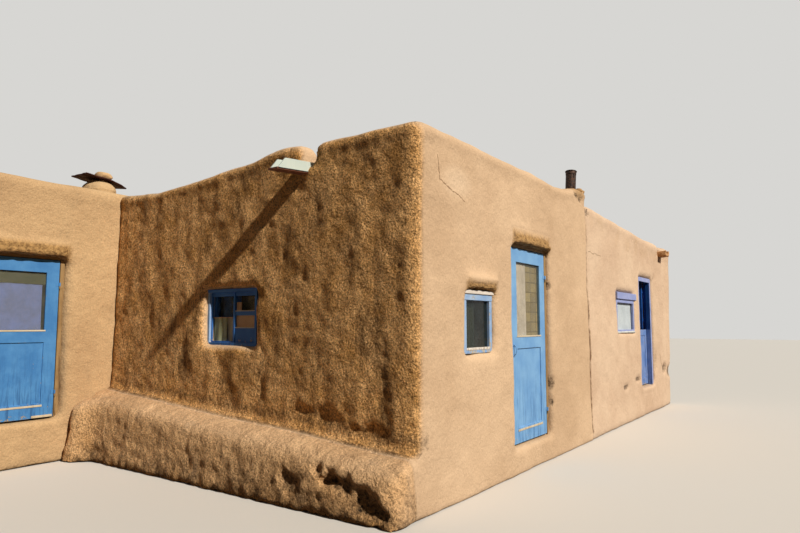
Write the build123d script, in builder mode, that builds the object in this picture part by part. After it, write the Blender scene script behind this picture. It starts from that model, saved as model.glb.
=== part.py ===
from build123d import *
import os
from math import cos, radians, sin

os.makedirs("parts", exist_ok=True)

# The house is measured in millimetres from the foot of its near corner: x runs to the
# right along the sunny front, y runs back along the shaded side and z goes up from the
# lowest ground. All planes below are shifted so that the origin of the model lies under
# the middle of the whole house.

# Plan of the three ranges
main_width = 3950
main_depth = 4220
rear_left_reach = 3000
rear_depth = 3680
annex_length = 4450
wall_thickness = 420
parapet_thickness = 270
outer_corner_round = 120

# How far each outer face leans in between the ground and the masonry's full height
front_batter = 24
side_batter = 62

# Levels of the floors, of the ledges that carry the roof logs and of the roof's earth
main_floor_level = 250
rear_floor_level = 450
annex_floor_level = 430
main_ledge_level = 2370
rear_ledge_level = 2330
annex_ledge_level = 2230
roof_log_diameter = 180
annex_log_diameter = 150
log_flat = 8
roof_earth_thickness = 250
annex_earth_thickness = 200
log_bearing = 130
log_pitch = 900

# Parapet heights: main front and side, rear range and right range
corner_top = 3020
side_low_top = 2880
mound_top = 3140
rear_top = 2946
annex_near_top = 2950
annex_far_top = 2735
parapet_round = 70
parapet_level = 2600
joint_strip = 5
masonry_spare = 260

# Main door, hung on its right edge to open outwards
main_leaf_left = 1755
main_leaf_width = 850
main_leaf_foot = 270
main_leaf_height = 1950
main_leaf_recess = 60
# Left door, in the rear range's front
left_leaf_left = -1420
left_leaf_width = 850
left_leaf_foot = 470
left_leaf_height = 1665
left_leaf_recess = 80
# Both glazed leaves
leaf_thickness = 40
stile_width = 130
top_rail = 140
middle_rail = 130
bottom_rail = 150
lower_panel_share = 0.51
leaf_panel_thickness = 14
glass_thickness = 4
glass_edge = 8
glass_rebate_play = 1
# Frames of the doors
jamb_width = 45
frame_depth = 110
leaf_gap = 8
stop_gap = 6
stop_width = 14
reveal_gap = 0.3
cut_spare = 10
# Split door of the right range, hung inside on its right edge
annex_leaf_left = 6500
annex_leaf_width = 700
annex_leaf_foot = 450
annex_lower_height = 905
annex_leaf_top = 2160
annex_leaf_recess = 40
annex_leaf_thickness = 35
split_border = 100
split_sinking = 10
# Hinges
pin_radius = 5
pin_clearance = 0.1
knuckle_radius = 9
knuckle_length = 38
pintle_length = 26
knuckle_gap = 1
hinge_out = 2
hinge_plate_thickness = 3
hinge_plate_width = 34
hinge_inset = 260
split_hinge_inset = 160

# Windows: left edge, sill height, width and height of each frame, and its recess
small_window = (770, 1190, 530, 540, 45)
annex_window = (5210, 1315, 930, 602, 30)
side_window = (1880, 1250, 720, 530, 150)
window_bar = 50
window_frame_depth = 60
mullion_width = 55
head_board_height = 105
front_reveal_splay = 22
side_reveal_splay = 60
reveal_round = 35

# Rolls of mud that hang over the doors and windows like brows
brow_height = 130
brow_reach = 52
brow_drop = 20
brow_overlap = 60
brow_round = 48

# Bench along the foot of the side wall
bench_width = 340
bench_near_height = 455
bench_far_height = 735
bench_top_fall = 90
bench_plan_round = 130
bench_edge_round = 75
bench_rear_reach = 520
bench_rear_run = 140
bench_near_reach = 25
bench_end = 100
bench_side_taper = 5

# Roof spouts
canale_width = 110
canale_height = 90
canale_board = 18
canale_reach = 345
canale_inner_reach = 60
canale_fall = 5
canale_y = 1250
canale_foot_level = 2800
notch_near = 100
notch_far = 65
notch_top_near = 220
annex_canale_x = 7860
annex_canale_width = 240
annex_canale_height = 100
annex_canale_wall = 45
annex_canale_reach = 300
annex_canale_foot_level = 2640

# Chimney stub with its slab and stone, and the stovepipe
flue_x = 40
flue_radius = 190
flue_bore = 80
flue_top = 3190
flue_clear = 12
flue_shoulder = 90
cap_thickness = 28
cap_width = 610
cap_depth = 420
cap_seat = 105
cap_left_rise = 16
cap_right_droop = 46
cap_bevel = 9
cap_stone_inset = 5
cap_stone_depth = 140
cap_stone_height = 74
pipe_x = main_width - 215
pipe_radius = 65
pipe_wall = 3
pipe_lean = 8
pipe_above = 225
pipe_sunk = 150
pipe_back = 10
pipe_seat = 0.3

# Overall extents that place the origin under the middle of the house
left_end = -rear_left_reach
right_end = main_width + annex_length
front_end = -annex_canale_reach
back_end = main_depth + rear_depth
middle_x = (left_end + right_end) / 2
middle_y = (front_end + back_end) / 2
joint_x = main_width
rear_y = main_depth
party_x = main_width - wall_thickness
masonry_height = max(corner_top, mound_top, rear_top, annex_near_top) + masonry_spare
beyond = 500

main_roof_foot = main_ledge_level + roof_log_diameter - 2 * log_flat
rear_roof_foot = rear_ledge_level + roof_log_diameter - 2 * log_flat
annex_roof_foot = annex_ledge_level + annex_log_diameter - 2 * log_flat
rear_roof_top = rear_roof_foot + roof_earth_thickness


def level(z=0.0):
    """Horizontal plane whose coordinates are measured from the near corner."""
    return Plane(origin=(-middle_x, -middle_y, z))


def front_plane(y=0.0):
    """Upright plane along the front: x to the right, z up, outwards is positive."""
    return Plane(origin=(-middle_x, y - middle_y, 0), x_dir=(1, 0, 0), z_dir=(0, -1, 0))


def side_plane(x=0.0):
    """Upright plane along the side: y to the back, z up, to the right is positive."""
    return Plane(origin=(x - middle_x, -middle_y, 0), x_dir=(0, 1, 0), z_dir=(1, 0, 0))


def spot(x, y, z):
    """A point measured from the near corner, in the model's own frame."""
    return (x - middle_x, y - middle_y, z)


def block(x0, x1, y0, y1, z0, z1, mode=Mode.ADD):
    """A plain box between six planes measured from the near corner."""
    with Locations(spot((x0 + x1) / 2, (y0 + y1) / 2, (z0 + z1) / 2)):
        Box(x1 - x0, y1 - y0, z1 - z0, mode=mode)


def battered(x0, x1, y0, y1, lean_x, lean_y):
    """A mass with rounded corners whose faces lean in by the given amounts."""
    slope_x = Vector(lean_x, 0, masonry_height)
    slope_y = Vector(0, lean_y, masonry_height)
    with BuildPart() as mass:
        block(x0, x1, y0, y1, 0, masonry_height)
        for corner, along, up in (
            ((x0, y0), Vector(1, 0, 0), slope_y),
            ((x1, y0), Vector(0, 1, 0), Vector(-lean_x, 0, masonry_height)),
            ((x1, y1), Vector(-1, 0, 0), Vector(0, -lean_y, masonry_height)),
            ((x0, y1), Vector(0, -1, 0), slope_x),
        ):
            face = Plane(origin=spot(*corner, 0), x_dir=along, z_dir=along.cross(up))
            split(bisect_by=face, keep=Keep.BOTTOM)
        fillet(mass.edges().group_by(Axis.Z)[1], outer_corner_round)
    return mass.part


def above(plane, points, thickness):
    """All that lies over a parapet's top line, through a wall's thickness."""
    with BuildPart() as cut:
        with BuildSketch(plane):
            with BuildLine():
                Polyline(
                    *points, (points[-1][0], masonry_height + beyond),
                    (points[0][0], masonry_height + beyond), close=True,
                )
            make_face()
        extrude(amount=thickness)
    return cut.part


# Masonry masses of the three ranges, before they are parted into walls. A mass runs past
# a joint where its face there stays upright, and is cut at the joint.
annex_mass = battered(
    joint_x - 2 * beyond, right_end, 0, main_depth, side_batter, front_batter
)
main_mass = battered(
    0, joint_x + 2 * beyond, 0, main_depth + 2 * beyond, side_batter, front_batter
)
rear_mass = battered(left_end, joint_x, rear_y, back_end, side_batter, front_batter)

# Top lines of the parapets, straight between their bends
main_front_line = [
    (-200, corner_top),
    (pipe_x - 1435, corner_top + 4),
    (pipe_x - 735, corner_top - 8),
    (pipe_x - 405, corner_top + 20),
    (pipe_x, mound_top),
    (joint_x + 250, mound_top - 30),
]
side_line = [
    (-100, corner_top + 6),
    (canale_y, corner_top),
    (3500, side_low_top - 16),
    (main_depth + 100, side_low_top + 36),
]
annex_front_line = [
    (joint_x - 100, annex_near_top + 8),
    (joint_x + 2590, annex_near_top - 102),
    (right_end + 100, annex_far_top - 4),
]

# Main room: front wall, side wall and the party wall at the joint
with BuildPart() as main_masonry:
    add(main_mass)
    add(rear_mass, mode=Mode.SUBTRACT)
    block(
        joint_x, joint_x + 4 * beyond, -beyond, back_end,
        -beyond, masonry_height + beyond, mode=Mode.SUBTRACT,
    )
    block(
        -beyond, joint_x + beyond, rear_y + wall_thickness, back_end,
        -beyond, masonry_height + beyond, mode=Mode.SUBTRACT,
    )
    block(
        wall_thickness, party_x, wall_thickness, rear_y + beyond,
        -beyond, main_ledge_level, mode=Mode.SUBTRACT,
    )
    block(
        parapet_thickness, joint_x - parapet_thickness, parapet_thickness, rear_y + beyond,
        main_ledge_level, masonry_height + beyond, mode=Mode.SUBTRACT,
    )

# Rear range: its front wall runs on as the main room's back wall
with BuildPart() as rear_masonry:
    add(rear_mass)
    block(
        left_end + wall_thickness, party_x, rear_y + wall_thickness,
        back_end - wall_thickness, -beyond, rear_ledge_level, mode=Mode.SUBTRACT,
    )
    block(
        left_end + parapet_thickness, joint_x - parapet_thickness,
        rear_y + parapet_thickness, back_end - parapet_thickness,
        rear_ledge_level, masonry_height + beyond, mode=Mode.SUBTRACT,
    )

# Right range, built against the main room's party wall
with BuildPart() as annex_masonry:
    add(annex_mass)
    block(
        joint_x - 4 * beyond, joint_x, -beyond, back_end,
        -beyond, masonry_height + beyond, mode=Mode.SUBTRACT,
    )
    block(
        joint_x - beyond, right_end - wall_thickness, wall_thickness,
        rear_y - wall_thickness, -beyond, annex_ledge_level, mode=Mode.SUBTRACT,
    )
    block(
        joint_x - beyond, right_end - parapet_thickness, parapet_thickness,
        rear_y - parapet_thickness, annex_ledge_level, masonry_height + beyond,
        mode=Mode.SUBTRACT,
    )

annex_leaf_height = annex_leaf_top - annex_leaf_foot
doorway_side = leaf_gap + jamb_width + reveal_gap


def window_way(plane, outwards, window, splay, corner_round):
    """The hole for a window's frame, and the reveal that splays from it to the outside."""
    left, sill, width, height, recess = window
    middle = (left + width / 2, sill + height / 2)
    with BuildPart() as reveal:
        with BuildSketch(plane.offset(outwards * (reveal_gap - recess))):
            with Locations(middle):
                Rectangle(width + 2 * reveal_gap, height + 2 * reveal_gap)
        with BuildSketch(plane):
            with Locations(middle):
                Rectangle(width + 2 * splay, height + 2 * splay)
        loft(ruled=True)
        if corner_round:
            slanted = reveal.edges().filter_by(lambda edge: abs((edge % 0.5).dot(plane.z_dir)) > 0.1)
            fillet(slanted, corner_round)
    with BuildPart() as way:
        add(reveal.part)
        with BuildSketch(plane.offset(outwards * (reveal_gap - recess))):
            with Locations(middle):
                Rectangle(width + 2 * reveal_gap, height + 2 * reveal_gap)
        extrude(amount=-outwards * (wall_thickness + beyond))
    return way.part


small_way = window_way(front_plane(), 1, small_window, front_reveal_splay, 0)
annex_way = window_way(front_plane(), 1, annex_window, front_reveal_splay, 0)
side_way = window_way(side_plane(), -1, side_window, side_reveal_splay, reveal_round)


def brow(plane, outwards, start, end, foot):
    """A roll of mud over an opening, sunk in the wall and worn round at both ends."""
    with BuildPart() as roll:
        with BuildSketch(plane.offset(-outwards * brow_overlap)):
            with Locations(((start + end) / 2, foot + brow_height / 2)):
                Rectangle(end - start, brow_height)
        extrude(amount=outwards * (brow_overlap + brow_reach))
        outer = roll.faces().filter_by(lambda face: face.normal_at().dot(plane.z_dir) * outwards > 0.9)
        fillet(outer.edges(), brow_round)
    return roll.part


main_brow_foot = main_leaf_foot + main_leaf_height + doorway_side - brow_drop
main_brow = brow(
    front_plane(), 1, main_leaf_left - leaf_gap, main_leaf_left + main_leaf_width + doorway_side,
    main_brow_foot,
)
left_brow_foot = left_leaf_foot + left_leaf_height + doorway_side - brow_drop
left_brow = brow(
    front_plane(rear_y), 1, left_leaf_left - leaf_gap, left_leaf_left + left_leaf_width + doorway_side,
    left_brow_foot,
)
small_brow = brow(
    front_plane(), 1, small_window[0], small_window[0] + small_window[2] + brow_drop,
    small_window[1] + small_window[3] + front_reveal_splay / 2,
)

# Where each wall begins and ends
main_door_x0 = main_leaf_left - doorway_side
main_door_x1 = main_leaf_left + main_leaf_width + doorway_side
main_door_head = main_leaf_foot + main_leaf_height + doorway_side
left_door_x0 = left_leaf_left - doorway_side
left_door_x1 = left_leaf_left + left_leaf_width + doorway_side
left_door_head = left_leaf_foot + left_leaf_height + doorway_side
annex_door_x0 = annex_leaf_left - doorway_side
annex_door_x1 = annex_leaf_left + annex_leaf_width + doorway_side
annex_door_head = annex_leaf_top + doorway_side
rear_in = rear_y + wall_thickness
back_in = back_end - wall_thickness
end_in = right_end - wall_thickness
annex_back_in = rear_y - wall_thickness

# The parapets' wavy tops, each cut through a whole wall
party_line = [(-beyond, corner_top + 20), (rear_y + beyond, side_low_top + 20)]
end_line = [(-beyond, annex_far_top), (rear_y + beyond, annex_far_top - 60)]
back_line = [(joint_x - beyond, annex_near_top - 20), (right_end + beyond, annex_far_top - 60)]
rear_line = [(left_end - beyond, rear_top), (joint_x + beyond, rear_top - 20)]
rear_end_line = [(rear_y - beyond, rear_top), (back_end + beyond, rear_top - 10)]
front_top = above(front_plane(wall_thickness), main_front_line, wall_thickness + beyond)
side_top = above(side_plane(-beyond), side_line, wall_thickness + beyond)
party_top = above(side_plane(party_x - beyond), party_line, wall_thickness + beyond)
annex_top = above(front_plane(wall_thickness), annex_front_line, wall_thickness + beyond)
end_top = above(side_plane(end_in), end_line, wall_thickness + beyond)
annex_back_top = above(front_plane(rear_y), back_line, wall_thickness)
rear_front_top = above(front_plane(rear_in), rear_line, wall_thickness + beyond)
rear_back_top = above(front_plane(back_end + beyond), rear_line, wall_thickness + beyond)
rear_left_top = above(side_plane(left_end - beyond), rear_end_line, wall_thickness + beyond)
rear_right_top = above(side_plane(party_x - beyond), rear_end_line, wall_thickness + beyond)

# Canale's own slope, shared by its notch in the side parapet
canale_plane = Plane(
    origin=spot(0, canale_y, canale_foot_level),
    x_dir=(0, 1, 0),
    z_dir=(cos(radians(canale_fall)), 0, sin(radians(canale_fall))),
)
with BuildPart() as side_notch:
    with BuildSketch(canale_plane):
        Polygon(
            (-notch_near, 0), (notch_far, 0), (notch_far, beyond), (-notch_top_near, beyond),
            align=None,
        )
    extrude(amount=wall_thickness + beyond, both=True)
with BuildPart() as annex_notch:
    block(
        annex_canale_x - annex_canale_width / 2, annex_canale_x + annex_canale_width / 2,
        -beyond, wall_thickness, annex_canale_foot_level, masonry_height,
    )

# Leaning stovepipe, a thin tube sunk in the mound over the front wall
pipe_foot = mound_top - pipe_sunk
pipe_plane = Plane(
    origin=spot(pipe_x, parapet_thickness / 2 + pipe_back, pipe_foot),
    x_dir=(cos(radians(pipe_lean)), 0, -sin(radians(pipe_lean))),
    z_dir=(sin(radians(pipe_lean)), 0, cos(radians(pipe_lean))),
)
pipe_length = pipe_sunk + pipe_above
with BuildPart() as stovepipe:
    with BuildSketch(pipe_plane):
        Circle(pipe_radius)
        Circle(pipe_radius - pipe_wall, mode=Mode.SUBTRACT)
    extrude(amount=pipe_length)
stovepipe.part.label = "stovepipe"
export_step(stovepipe.part, "parts/stovepipe.step")
with BuildPart() as pipe_socket:
    with BuildSketch(pipe_plane):
        Circle(pipe_radius + pipe_seat)
    extrude(amount=pipe_length)


def parapet_edges(wall, x0, x1, y0, y1):
    """The edges round a wall's top that aren't at its joints with other walls."""
    upright = wall.faces().filter_by(lambda face: abs(face.normal_at().Z) < 0.5)
    found = []
    for edge in upright.edges().filter_by(lambda edge: abs((edge % 0.5).Z) < 0.5):
        middle = edge @ 0.5
        to_joint = min(
            abs(middle.X + middle_x - x0), abs(middle.X + middle_x - x1),
            abs(middle.Y + middle_y - y0), abs(middle.Y + middle_y - y1),
        )
        if to_joint > joint_strip and middle.Z > parapet_level:
            found.append(edge)
    return found


def parted_wall(masonry, x0, x1, y0, y1, foot, top, holes, brows):
    """The masonry between four upright planes, with a rounded top and its holes."""
    with BuildPart() as wall:
        add(masonry.part)
        block(x0, x1, y0, y1, foot, masonry_height + beyond, mode=Mode.INTERSECT)
        add(top, mode=Mode.SUBTRACT)
        fillet(parapet_edges(wall, x0, x1, y0, y1), parapet_round)
        for hole in holes:
            add(hole, mode=Mode.SUBTRACT)
        for roll in brows:
            add(roll)
    return wall.part


# Two walls of the main room end on the rear range's leaning face
rear_face = rear_y + front_batter
thick = wall_thickness
wall_pieces = {
    "front_wall_left": (
        main_masonry, 0, main_door_x0, 0, thick, 0, front_top, [small_way], [small_brow],
    ),
    "front_wall_over_door": (
        main_masonry, main_door_x0, main_door_x1, 0, thick, main_door_head, front_top, [], [main_brow],
    ),
    "front_wall_right": (
        main_masonry, main_door_x1, joint_x, 0, thick, 0, front_top, [pipe_socket.part], [],
    ),
    "side_wall": (
        main_masonry, 0, thick, thick, rear_face, 0, side_top, [side_way, side_notch.part], [],
    ),
    "party_wall": (main_masonry, party_x, joint_x, thick, rear_face, 0, party_top, [], []),
    "rear_front_wall_left": (
        rear_masonry, left_end, left_door_x0, rear_y, rear_in, 0, rear_front_top, [], [],
    ),
    "rear_front_wall_over_door": (
        rear_masonry, left_door_x0, left_door_x1, rear_y, rear_in, left_door_head,
        rear_front_top, [], [left_brow],
    ),
    "middle_wall": (
        rear_masonry, left_door_x1, joint_x, rear_y, rear_in, 0, rear_front_top, [], [],
    ),
    "rear_left_end_wall": (
        rear_masonry, left_end, left_end + thick, rear_in, back_in, 0, rear_left_top, [], [],
    ),
    "rear_right_end_wall": (
        rear_masonry, party_x, joint_x, rear_in, back_in, 0, rear_right_top, [], [],
    ),
    "rear_back_wall": (
        rear_masonry, left_end, joint_x, back_in, back_end, 0, rear_back_top, [], [],
    ),
    "annex_front_wall_left": (
        annex_masonry, joint_x, annex_door_x0, 0, thick, 0, annex_top, [annex_way], [],
    ),
    "annex_front_wall_over_door": (
        annex_masonry, annex_door_x0, annex_door_x1, 0, thick, annex_door_head, annex_top, [], [],
    ),
    "annex_front_wall_right": (
        annex_masonry, annex_door_x1, right_end, 0, thick, 0, annex_top, [annex_notch.part], [],
    ),
    "annex_end_wall": (
        annex_masonry, end_in, right_end, thick, annex_back_in, 0, end_top, [], [],
    ),
    "annex_back_wall": (
        annex_masonry, joint_x, right_end, annex_back_in, rear_y, 0, annex_back_top, [], [],
    ),
}
for name, piece in wall_pieces.items():
    with BuildPart() as wall:
        add(parted_wall(*piece))
    wall.part.label = name
    export_step(wall.part, f"parts/{name}.step")


def floor(masonry, rooms, top, doorway_box):
    """A packed earth floor that fills a room and runs out under its doorway."""
    x0, x1, y0, y1 = rooms
    dx0, dx1, dy0, dy1 = doorway_box
    with BuildPart() as earth:
        block(dx0, dx1, dy0, dy1 + joint_strip, 0, top)
        add(masonry, mode=Mode.INTERSECT)
        block(x0, x1, y0, y1, 0, top)
    return earth.part


with BuildPart() as main_floor:
    add(floor(
        main_mass, (wall_thickness, party_x, wall_thickness, rear_face), main_floor_level,
        (main_door_x0, main_door_x1, 0, wall_thickness),
    ))
    add(rear_mass, mode=Mode.SUBTRACT)
main_floor.part.label = "main_floor"
export_step(main_floor.part, "parts/main_floor.step")

with BuildPart() as rear_floor:
    add(floor(
        rear_mass, (left_end + wall_thickness, party_x, rear_in, back_in), rear_floor_level,
        (left_door_x0, left_door_x1, rear_y, rear_in),
    ))
rear_floor.part.label = "rear_floor"
export_step(rear_floor.part, "parts/rear_floor.step")

with BuildPart() as annex_floor:
    add(floor(
        annex_mass, (joint_x, end_in, wall_thickness, rear_y - wall_thickness), annex_floor_level,
        (annex_door_x0, annex_door_x1, 0, wall_thickness),
    ))
annex_floor.part.label = "annex_floor"
export_step(annex_floor.part, "parts/annex_floor.step")


def log_places(first, last):
    """Even places of the roof logs between two walls, near the usual pitch."""
    count = max(2, round((last - first) / log_pitch))
    step = (last - first) / count
    return [first + step * (k + 0.5) for k in range(count)]


def roof_logs(plane, length, places, ledge, diameter):
    """Round logs that start at a plane, with flats hewn on top and beneath."""
    middle = ledge + diameter / 2 - log_flat
    with BuildPart() as logs:
        with BuildSketch(plane):
            for place in places:
                with Locations((place, middle)):
                    Circle(diameter / 2)
            with Locations(((places[0] + places[-1]) / 2, middle)):
                Rectangle(
                    places[-1] - places[0] + 2 * diameter, diameter - 2 * log_flat, mode=Mode.INTERSECT
                )
        extrude(amount=length)
    return logs.part


main_log_length = party_x - wall_thickness + 2 * log_bearing
rear_log_length = back_in - rear_in + 2 * log_bearing
annex_log_length = annex_back_in - wall_thickness + 2 * log_bearing
main_logs = roof_logs(
    side_plane(wall_thickness - log_bearing), main_log_length,
    log_places(wall_thickness, rear_y), main_ledge_level, roof_log_diameter,
)
rear_logs = roof_logs(
    front_plane(back_in + log_bearing), rear_log_length,
    log_places(left_end + wall_thickness, party_x), rear_ledge_level, roof_log_diameter,
)
annex_logs = roof_logs(
    front_plane(annex_back_in + log_bearing), annex_log_length,
    log_places(joint_x, end_in), annex_ledge_level, annex_log_diameter,
)

with BuildPart() as main_roof:
    block(
        parapet_thickness, joint_x - parapet_thickness, parapet_thickness, rear_y + outer_corner_round,
        main_roof_foot, main_roof_foot + roof_earth_thickness,
    )
    add(rear_mass, mode=Mode.SUBTRACT)
    add(main_logs)
main_roof.part.label = "main_roof"
export_step(main_roof.part, "parts/main_roof.step")

with BuildPart() as rear_roof:
    block(
        left_end + parapet_thickness, joint_x - parapet_thickness,
        rear_y + parapet_thickness, back_end - parapet_thickness, rear_roof_foot, rear_roof_top,
    )
    add(rear_logs)
rear_roof.part.label = "rear_roof"
export_step(rear_roof.part, "parts/rear_roof.step")

with BuildPart() as annex_roof:
    block(
        joint_x, right_end - parapet_thickness, parapet_thickness,
        rear_y - parapet_thickness, annex_roof_foot, annex_roof_foot + annex_earth_thickness,
    )
    add(annex_logs)
annex_roof.part.label = "annex_roof"
export_step(annex_roof.part, "parts/annex_roof.step")

# Bench of mud along the side wall, flush with the front at the near corner and run out
# a little way past the far one
bench_rise = bench_far_height - bench_near_height
bench_top = Plane(
    origin=spot(0, 0, bench_near_height),
    x_dir=Vector(bench_width, 0, bench_top_fall),
    z_dir=Vector(bench_width, 0, bench_top_fall).cross(Vector(0, main_depth, bench_rise)),
)
bench_inside = wall_thickness - parapet_thickness / 2
with BuildPart() as bench:
    with BuildSketch(level(0)) as bench_foot:
        Polygon(
            (bench_inside, bench_inside), (bench_inside, rear_y + bench_inside),
            (-bench_rear_reach, rear_y + bench_inside), (-bench_rear_reach, rear_y - bench_rear_run),
            (-bench_width, rear_y - bench_rear_run - bench_rear_reach + bench_width),
            (-bench_width, -bench_near_reach), (bench_end, -bench_near_reach),
            align=None,
        )
        fillet(bench_foot.vertices(), bench_plan_round)
    extrude(amount=bench_far_height + beyond, taper=bench_side_taper)
    with BuildSketch(bench_top):
        Rectangle(4 * main_depth, 4 * main_depth)
    extrude(amount=2 * main_depth, mode=Mode.SUBTRACT)
    fillet(bench.faces().filter_by(Axis((0, 0, 0), bench_top.z_dir)).edges(), bench_edge_round)
    add(main_mass, mode=Mode.SUBTRACT)
    add(rear_mass, mode=Mode.SUBTRACT)
bench.part.label = "bench"
export_step(bench.part, "parts/bench.step")

# Spout of painted boards in the side parapet, with its end cut back at the top
canale_inner = parapet_thickness + canale_inner_reach
canale_side = Plane(
    origin=spot(0, canale_y + canale_width / 2, canale_foot_level),
    x_dir=(cos(radians(canale_fall)), 0, sin(radians(canale_fall))),
    z_dir=(0, -1, 0),
)
with BuildPart() as side_canale:
    with BuildSketch(canale_side):
        Polygon(
            (-canale_reach, 0), (canale_inner, 0), (canale_inner, canale_height),
            (-canale_reach + canale_height, canale_height),
            align=None,
        )
    extrude(amount=canale_width)
    with BuildSketch(canale_side.offset(canale_board)):
        Polygon(
            (-canale_reach - cut_spare, canale_board), (canale_inner + cut_spare, canale_board),
            (canale_inner + cut_spare, canale_height + cut_spare),
            (-canale_reach - cut_spare, canale_height + cut_spare),
            align=None,
        )
    extrude(amount=canale_width - 2 * canale_board, mode=Mode.SUBTRACT)
side_canale.part.label = "side_canale"
export_step(side_canale.part, "parts/side_canale.step")

# Short spout of stone and mud in the right range's front parapet
with BuildPart() as annex_canale:
    block(
        annex_canale_x - annex_canale_width / 2, annex_canale_x + annex_canale_width / 2,
        -annex_canale_reach, parapet_thickness,
        annex_canale_foot_level, annex_canale_foot_level + annex_canale_height,
    )
    block(
        annex_canale_x - annex_canale_width / 2 + annex_canale_wall,
        annex_canale_x + annex_canale_width / 2 - annex_canale_wall,
        -annex_canale_reach - cut_spare, parapet_thickness + cut_spare,
        annex_canale_foot_level + annex_canale_wall, annex_canale_foot_level + beyond,
        mode=Mode.SUBTRACT,
    )
annex_canale.part.label = "annex_canale"
export_step(annex_canale.part, "parts/annex_canale.step")

# Round chimney stub of mud on the rear roof, with a square smoke hole, under a thin
# warped slab that a stone holds down
flue_y = rear_y + parapet_thickness + flue_clear + flue_radius
flue_plane = Plane(origin=spot(flue_x, flue_y, 0), x_dir=(1, 0, 0), z_dir=(0, -1, 0))
with BuildPart() as chimney_flue:
    with BuildSketch(flue_plane):
        Polygon(
            (0, rear_roof_top), (flue_radius, rear_roof_top),
            (flue_radius, flue_top - flue_shoulder), (flue_radius - flue_shoulder, flue_top),
            (0, flue_top),
            align=None,
        )
    revolve(axis=Axis(spot(flue_x, flue_y, 0), (0, 0, 1)))
    block(
        flue_x - flue_bore, flue_x + flue_bore, flue_y - flue_bore, flue_y + flue_bore,
        rear_roof_top, flue_top, mode=Mode.SUBTRACT,
    )
chimney_flue.part.label = "chimney_flue"
export_step(chimney_flue.part, "parts/chimney_flue.step")

cap_plane = Plane(origin=spot(flue_x, flue_y - cap_depth / 2, flue_top), x_dir=(1, 0, 0), z_dir=(0, -1, 0))
with BuildPart() as chimney_cap:
    with BuildSketch(cap_plane):
        Polygon(
            (-cap_seat, 0), (cap_seat, 0), (cap_width / 2, -cap_right_droop),
            (cap_width / 2 - cap_bevel, cap_thickness - cap_right_droop), (cap_seat, cap_thickness),
            (-cap_seat, cap_thickness), (-cap_width / 2 + cap_bevel, cap_thickness + cap_left_rise),
            (-cap_width / 2, cap_left_rise),
            align=None,
        )
    extrude(amount=-cap_depth)
chimney_cap.part.label = "chimney_cap"
export_step(chimney_cap.part, "parts/chimney_cap.step")

stone_half = cap_seat - cap_stone_inset
stone_plane = Plane(
    origin=spot(flue_x, flue_y - cap_stone_depth, flue_top + cap_thickness), x_dir=(1, 0, 0), z_dir=(0, -1, 0)
)
with BuildPart() as chimney_stone:
    with BuildSketch(stone_plane):
        Polygon(
            (-stone_half, 0), (stone_half, 0), (stone_half / 2, cap_stone_height / 2),
            (-stone_half / 4, cap_stone_height), (-stone_half * 2 / 3, cap_stone_height * 2 / 3),
            align=None,
        )
    extrude(amount=-cap_stone_depth)
    chamfer(chimney_stone.edges().filter_by(Axis.Y).group_by(Axis.Z)[-1], cap_bevel)
chimney_stone.part.label = "chimney_stone"
export_step(chimney_stone.part, "parts/chimney_stone.step")


def door_frame(x0, width, foot, height, face_y, floor_level, thickness, stop_outside):
    """Jambs and head with a stop that the closed leaf meets."""
    half = leaf_gap + jamb_width
    head = foot + height
    if stop_outside:
        rebate = (face_y + frame_depth - thickness - stop_gap, face_y + frame_depth + cut_spare)
    else:
        rebate = (face_y - cut_spare, face_y + thickness + stop_gap)
    with BuildPart() as frame:
        block(x0 - half, x0 + width + half, face_y, face_y + frame_depth, floor_level, head + half)
        block(
            x0 - leaf_gap, x0 + width + leaf_gap, rebate[0], rebate[1],
            floor_level - cut_spare, head + leaf_gap, mode=Mode.SUBTRACT,
        )
        block(
            x0 + stop_width, x0 + width - stop_width, face_y - cut_spare,
            face_y + frame_depth + cut_spare, floor_level - cut_spare, head - stop_width,
            mode=Mode.SUBTRACT,
        )
    return frame.part


def split_hinges(foot, height):
    """Heights of the two hinges of one half of the split door."""
    return (foot + split_hinge_inset, foot + height - split_hinge_inset)


def hinge_levels(foot, height):
    """Heights of a leaf's two hinges."""
    return (foot + hinge_inset, foot + height - hinge_inset)


def frame_hinge(x1, face_y, outward, z):
    """The frame's half of a hinge: a pin that stands on a square foot with its plate."""
    away = -1 if outward else 1
    axis_x = x1 + hinge_out
    axis_y = face_y + away * (knuckle_radius + knuckle_gap)
    low = z - knuckle_length / 2 - knuckle_gap - pintle_length
    high = low + pintle_length
    foot_reach = knuckle_radius - 2 * knuckle_gap
    with BuildPart() as half:
        with BuildSketch(Plane(origin=spot(axis_x, axis_y, high))):
            Circle(pin_radius)
        extrude(amount=knuckle_length + 2 * knuckle_gap)
        block(axis_x - pin_radius, axis_x + knuckle_radius, axis_y - foot_reach, axis_y + foot_reach,
              low, high)
        block(axis_x, axis_x + knuckle_radius, *sorted((face_y, axis_y)), low, high)
        block(axis_x, axis_x + leaf_gap + hinge_plate_width,
              *sorted((face_y, face_y + away * hinge_plate_thickness)), low, high)
    return half.part


def leaf_hinge(x1, face_y, outward, z):
    """The leaf's half of a hinge: one knuckle that turns on the pin."""
    away = -1 if outward else 1
    axis_x = x1 + hinge_out
    axis_y = face_y + away * (knuckle_radius + knuckle_gap)
    low = z - knuckle_length / 2
    high = z + knuckle_length / 2
    with BuildPart() as half:
        with BuildSketch(Plane(origin=spot(axis_x, axis_y, low))):
            Circle(knuckle_radius)
        extrude(amount=knuckle_length)
        block(x1 - hinge_plate_width, axis_x, *sorted((face_y, face_y + away * hinge_plate_thickness)),
              low, high)
        block(axis_x - pin_radius, axis_x - knuckle_gap, *sorted((face_y, axis_y)), low, high)
        with BuildSketch(Plane(origin=spot(axis_x, axis_y, low))):
            Circle(pin_radius + pin_clearance)
        extrude(amount=knuckle_length, mode=Mode.SUBTRACT)
    return half.part


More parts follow.
